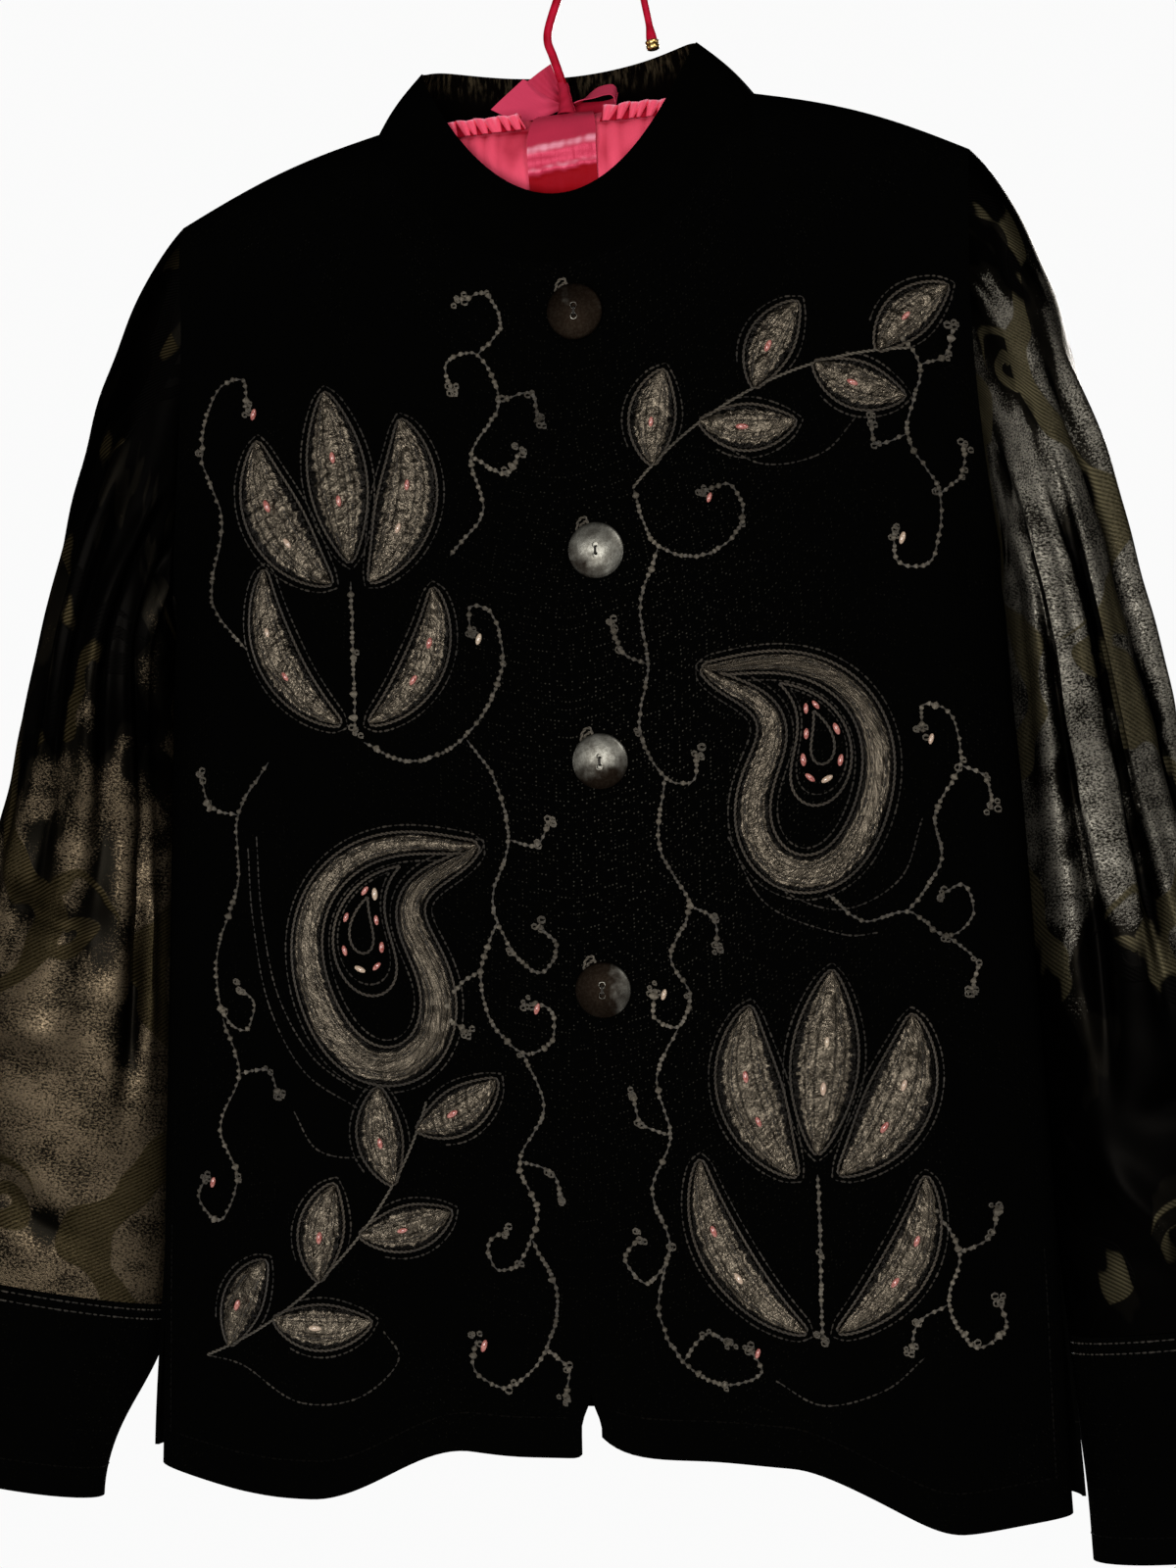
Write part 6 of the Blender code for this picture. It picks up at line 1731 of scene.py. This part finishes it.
# A strip between four corners; it is gathered at its root and waves towards its end.
def bowStrip(upper, lower, endUpper, endLower, belly, seed, deep=0.0):
    along, across = evenShares(bow["along"])[:, None], evenShares(bow["across"])
    corners = np.array((upper, lower, endUpper, endLower))
    root, end = (blend(*pair, across[:, None]) for pair in (corners[:2], corners[2:]))
    flat = blend(root, end, along[..., None])
    pleats = np.sin(across * bow["pleats"] + seed)
    y = bow["y"] + bow["pleat"] * pleats * (1.0 - smooth(along / 0.7))
    y = y + bow["wave"] * np.sin(2.4 * across + 2.0 * along + seed)
    grid = stacked(flat[..., 0], y, flat[..., 1] - belly * np.sin(math.pi * along) * across**2)
    # The mark: a given depth of red, with painted shade at the gathered root and in the pleats.
    return grid, deep + 0.5 * (1.0 - smooth(along / 0.35)) + 0.08 * pleats**2


# The loop: a strip whose breadth lies front to back, carried along a closed path.
def bowLoop():
    x, z = evenPoints(through(bow["loopPath"], 10), bow["loopSteps"]).T[..., None]
    share = np.linspace(-1.0, 1.0, bow["loopAcross"])
    steps = np.arange(bow["loopSteps"])[:, None]
    upper = 1.0 - smooth((steps - 40.0) / 30.0)
    tilt = bow["loopTilt"] * share * smooth(steps / 25.0) * (1.25 - 0.25 * upper)
    # Painted shade on the loop's lower strand, inside the loop.
    return stacked(x, bow["y"] + bow["loopHalf"] * share, z + tilt), 0.95 - 0.85 * upper


# The wrapped knot round the foot of the stem.
def bowKnot():
    level = evenShares(bow["knotSteps"])[:, None]
    angles = np.linspace(0.0, 2 * math.pi, bow["knotSides"])
    pairs = (bow["knotZ"], bow["knotRadius"])
    z, radius = (np.interp(level, evenShares(len(values)), values) for values in pairs)
    radius = radius + bow["knotWrap"] * np.sin(level * 20.0 + 2.0 * angles)
    stemX, stemZ = np.array(hook["stem"][:3]).T
    # Its mark of 0.8 is the wrap's own deeper crimson.
    return stacked(np.interp(z, stemZ, stemX) + radius * np.cos(angles), radius * np.sin(angles), z), 0.8


# Each strip of the bow is a thin shell behind its grid.
def makeBow():
    parts, area = [], 0.0
    strips = (bowStrip(*bow["tail"], 0.4), bowStrip(*bow["stand"], 1.7, 0.45), bowLoop(), bowKnot())
    for grid, shade in strips:
        inner = grid - bow["wall"] * gridNormals(grid, (0.0, -1.0, 0.0))
        marks = limited(shade) * np.ones(grid.shape[:2])
        parts.append(shell(grid, inner, marks, marks, cutGrid(grid)))
        area += gridArea(grid)
    piece = newPiece("satin_bow", joined(parts), "bow")
    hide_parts("hanger_bow")


padPiece = makePad()
makeRibbon()
makeRuffles()
makeHook()
makeBow()
print("hanger made")


studio = dict(
    floorZ=-1.02, floorRadius=0.66, floorSides=96, world=0.05, backdrop=0.96,
    # Outline of the floor: share of its radius, and drop.
    floorRings=((0.0, 0.0), (0.5, 0.0), (0.97, 0.0), (0.99, 0.003), (1.0, 0.010)),
    # Each light: place, aim, width, height, watts.
    lights=dict(
        key=((-0.25, -1.80, -0.40), (-0.02, 0.0, -0.42), 0.80, 0.70, 23.0),
        fill=((1.05, -1.50, 0.45), (-0.02, 0.0, -0.35), 0.70, 0.70, 10.0),
        leftStrip=((-1.15, -0.35, -0.45), (-0.20, 0.0, -0.50), 0.25, 0.90, 2.0),
        rightStrip=((1.10, -0.35, -0.30), (0.20, 0.0, -0.45), 0.25, 0.90, 2.0),
        backKey=((0.45, 1.80, 0.10), (-0.02, 0.0, -0.42), 0.80, 0.70, 45.0),
        backFill=((-0.70, 1.70, -0.30), (-0.02, 0.0, -0.40), 0.60, 0.70, 22.0),
    ),
    eye=(8.6, 1.0, -1.8), target=(0.0, 0.0, -0.419), distance=1.508, lens=67.18, sensor=36.0,
)


# A round pale floor: rings from its middle out to a turned-down edge.
def makeStage():
    share, drop = np.array(studio["floorRings"]).T[..., None]
    around, radius = roundAngles(studio["floorSides"]), studio["floorRadius"] * share
    grid = stacked(centreX + radius * np.cos(around), radius * np.sin(around), studio["floorZ"] - drop)
    index = np.arange(grid[..., 0].size).reshape(grid.shape[:2])
    mesh = plainMesh("floor", grid.reshape(-1, 3), gridQuads(index, True)[:, ::-1])
    mesh.shade_smooth()
    paper = Finish("pale_floor", Roughness=0.85)
    tone = paper.place().noise(0.4, 2.0)
    paper.feed("Base Color", tone.mix((0.86, 0.86, 0.86), (0.91, 0.91, 0.905)))
    mesh.materials.append(paper.material)
    floor = newObject("floor", mesh)


# A faint even light from all round; the lens sees the same world as a white backdrop.
def makeWorld():
    world = bpy.data.worlds.new("studio")
    world.use_nodes = True
    start = Wire(world.node_tree)
    seen = start.node("ShaderNodeLightPath")
    strength = studio["world"] + seen * (studio["backdrop"] - studio["world"])
    background = world.node_tree.nodes["Background"]
    background.inputs["Color"].default_value = opaque((1.0, 1.0, 1.0))
    world.node_tree.links.new(strength.socket, background.inputs["Strength"])
    bpy.context.scene.world = world


# Rectangular soft lights, each turned to its aim.
def makeLights():
    for name, (place, aim, wide, high, watts) in studio["lights"].items():
        lamp = bpy.data.lights.new(name, "AREA")
        lamp.shape, lamp.size, lamp.size_y, lamp.energy = "RECTANGLE", wide, high, watts
        holder = newObject(name, lamp)
        holder.location = place
        holder.rotation_euler = (Vector(aim) - Vector(place)).to_track_quat("-Z", "Y").to_euler()


# The camera looks at the jacket's middle from the photographer's place, with the same small roll.
def makeCamera():
    yaw, pitch, roll = (math.radians(angle) for angle in studio["eye"])
    back = Vector((math.sin(yaw) * math.cos(pitch), -math.cos(yaw) * math.cos(pitch), math.sin(pitch)))
    right = Vector((math.cos(yaw), math.sin(yaw), 0.0))
    up = back.cross(right)
    acrossFrame = math.cos(roll) * right + math.sin(roll) * up
    upFrame = math.cos(roll) * up - math.sin(roll) * right
    facing = Matrix((acrossFrame, upFrame, back)).transposed().to_4x4()
    lens = bpy.data.cameras.new("camera")
    lens.lens, lens.sensor_width, lens.sensor_fit = studio["lens"], studio["sensor"], "AUTO"
    camera = newObject("camera", lens)
    place = Vector(studio["target"]) + back * studio["distance"] + Vector((centreX, 0.0, 0.0))
    camera.matrix_world = Matrix.Translation(place) @ facing
    bpy.context.scene.camera = camera


makeStage()
makeWorld()
makeLights()
makeCamera()
bpy.context.scene.view_settings.view_transform = "Standard"
print("studio made")
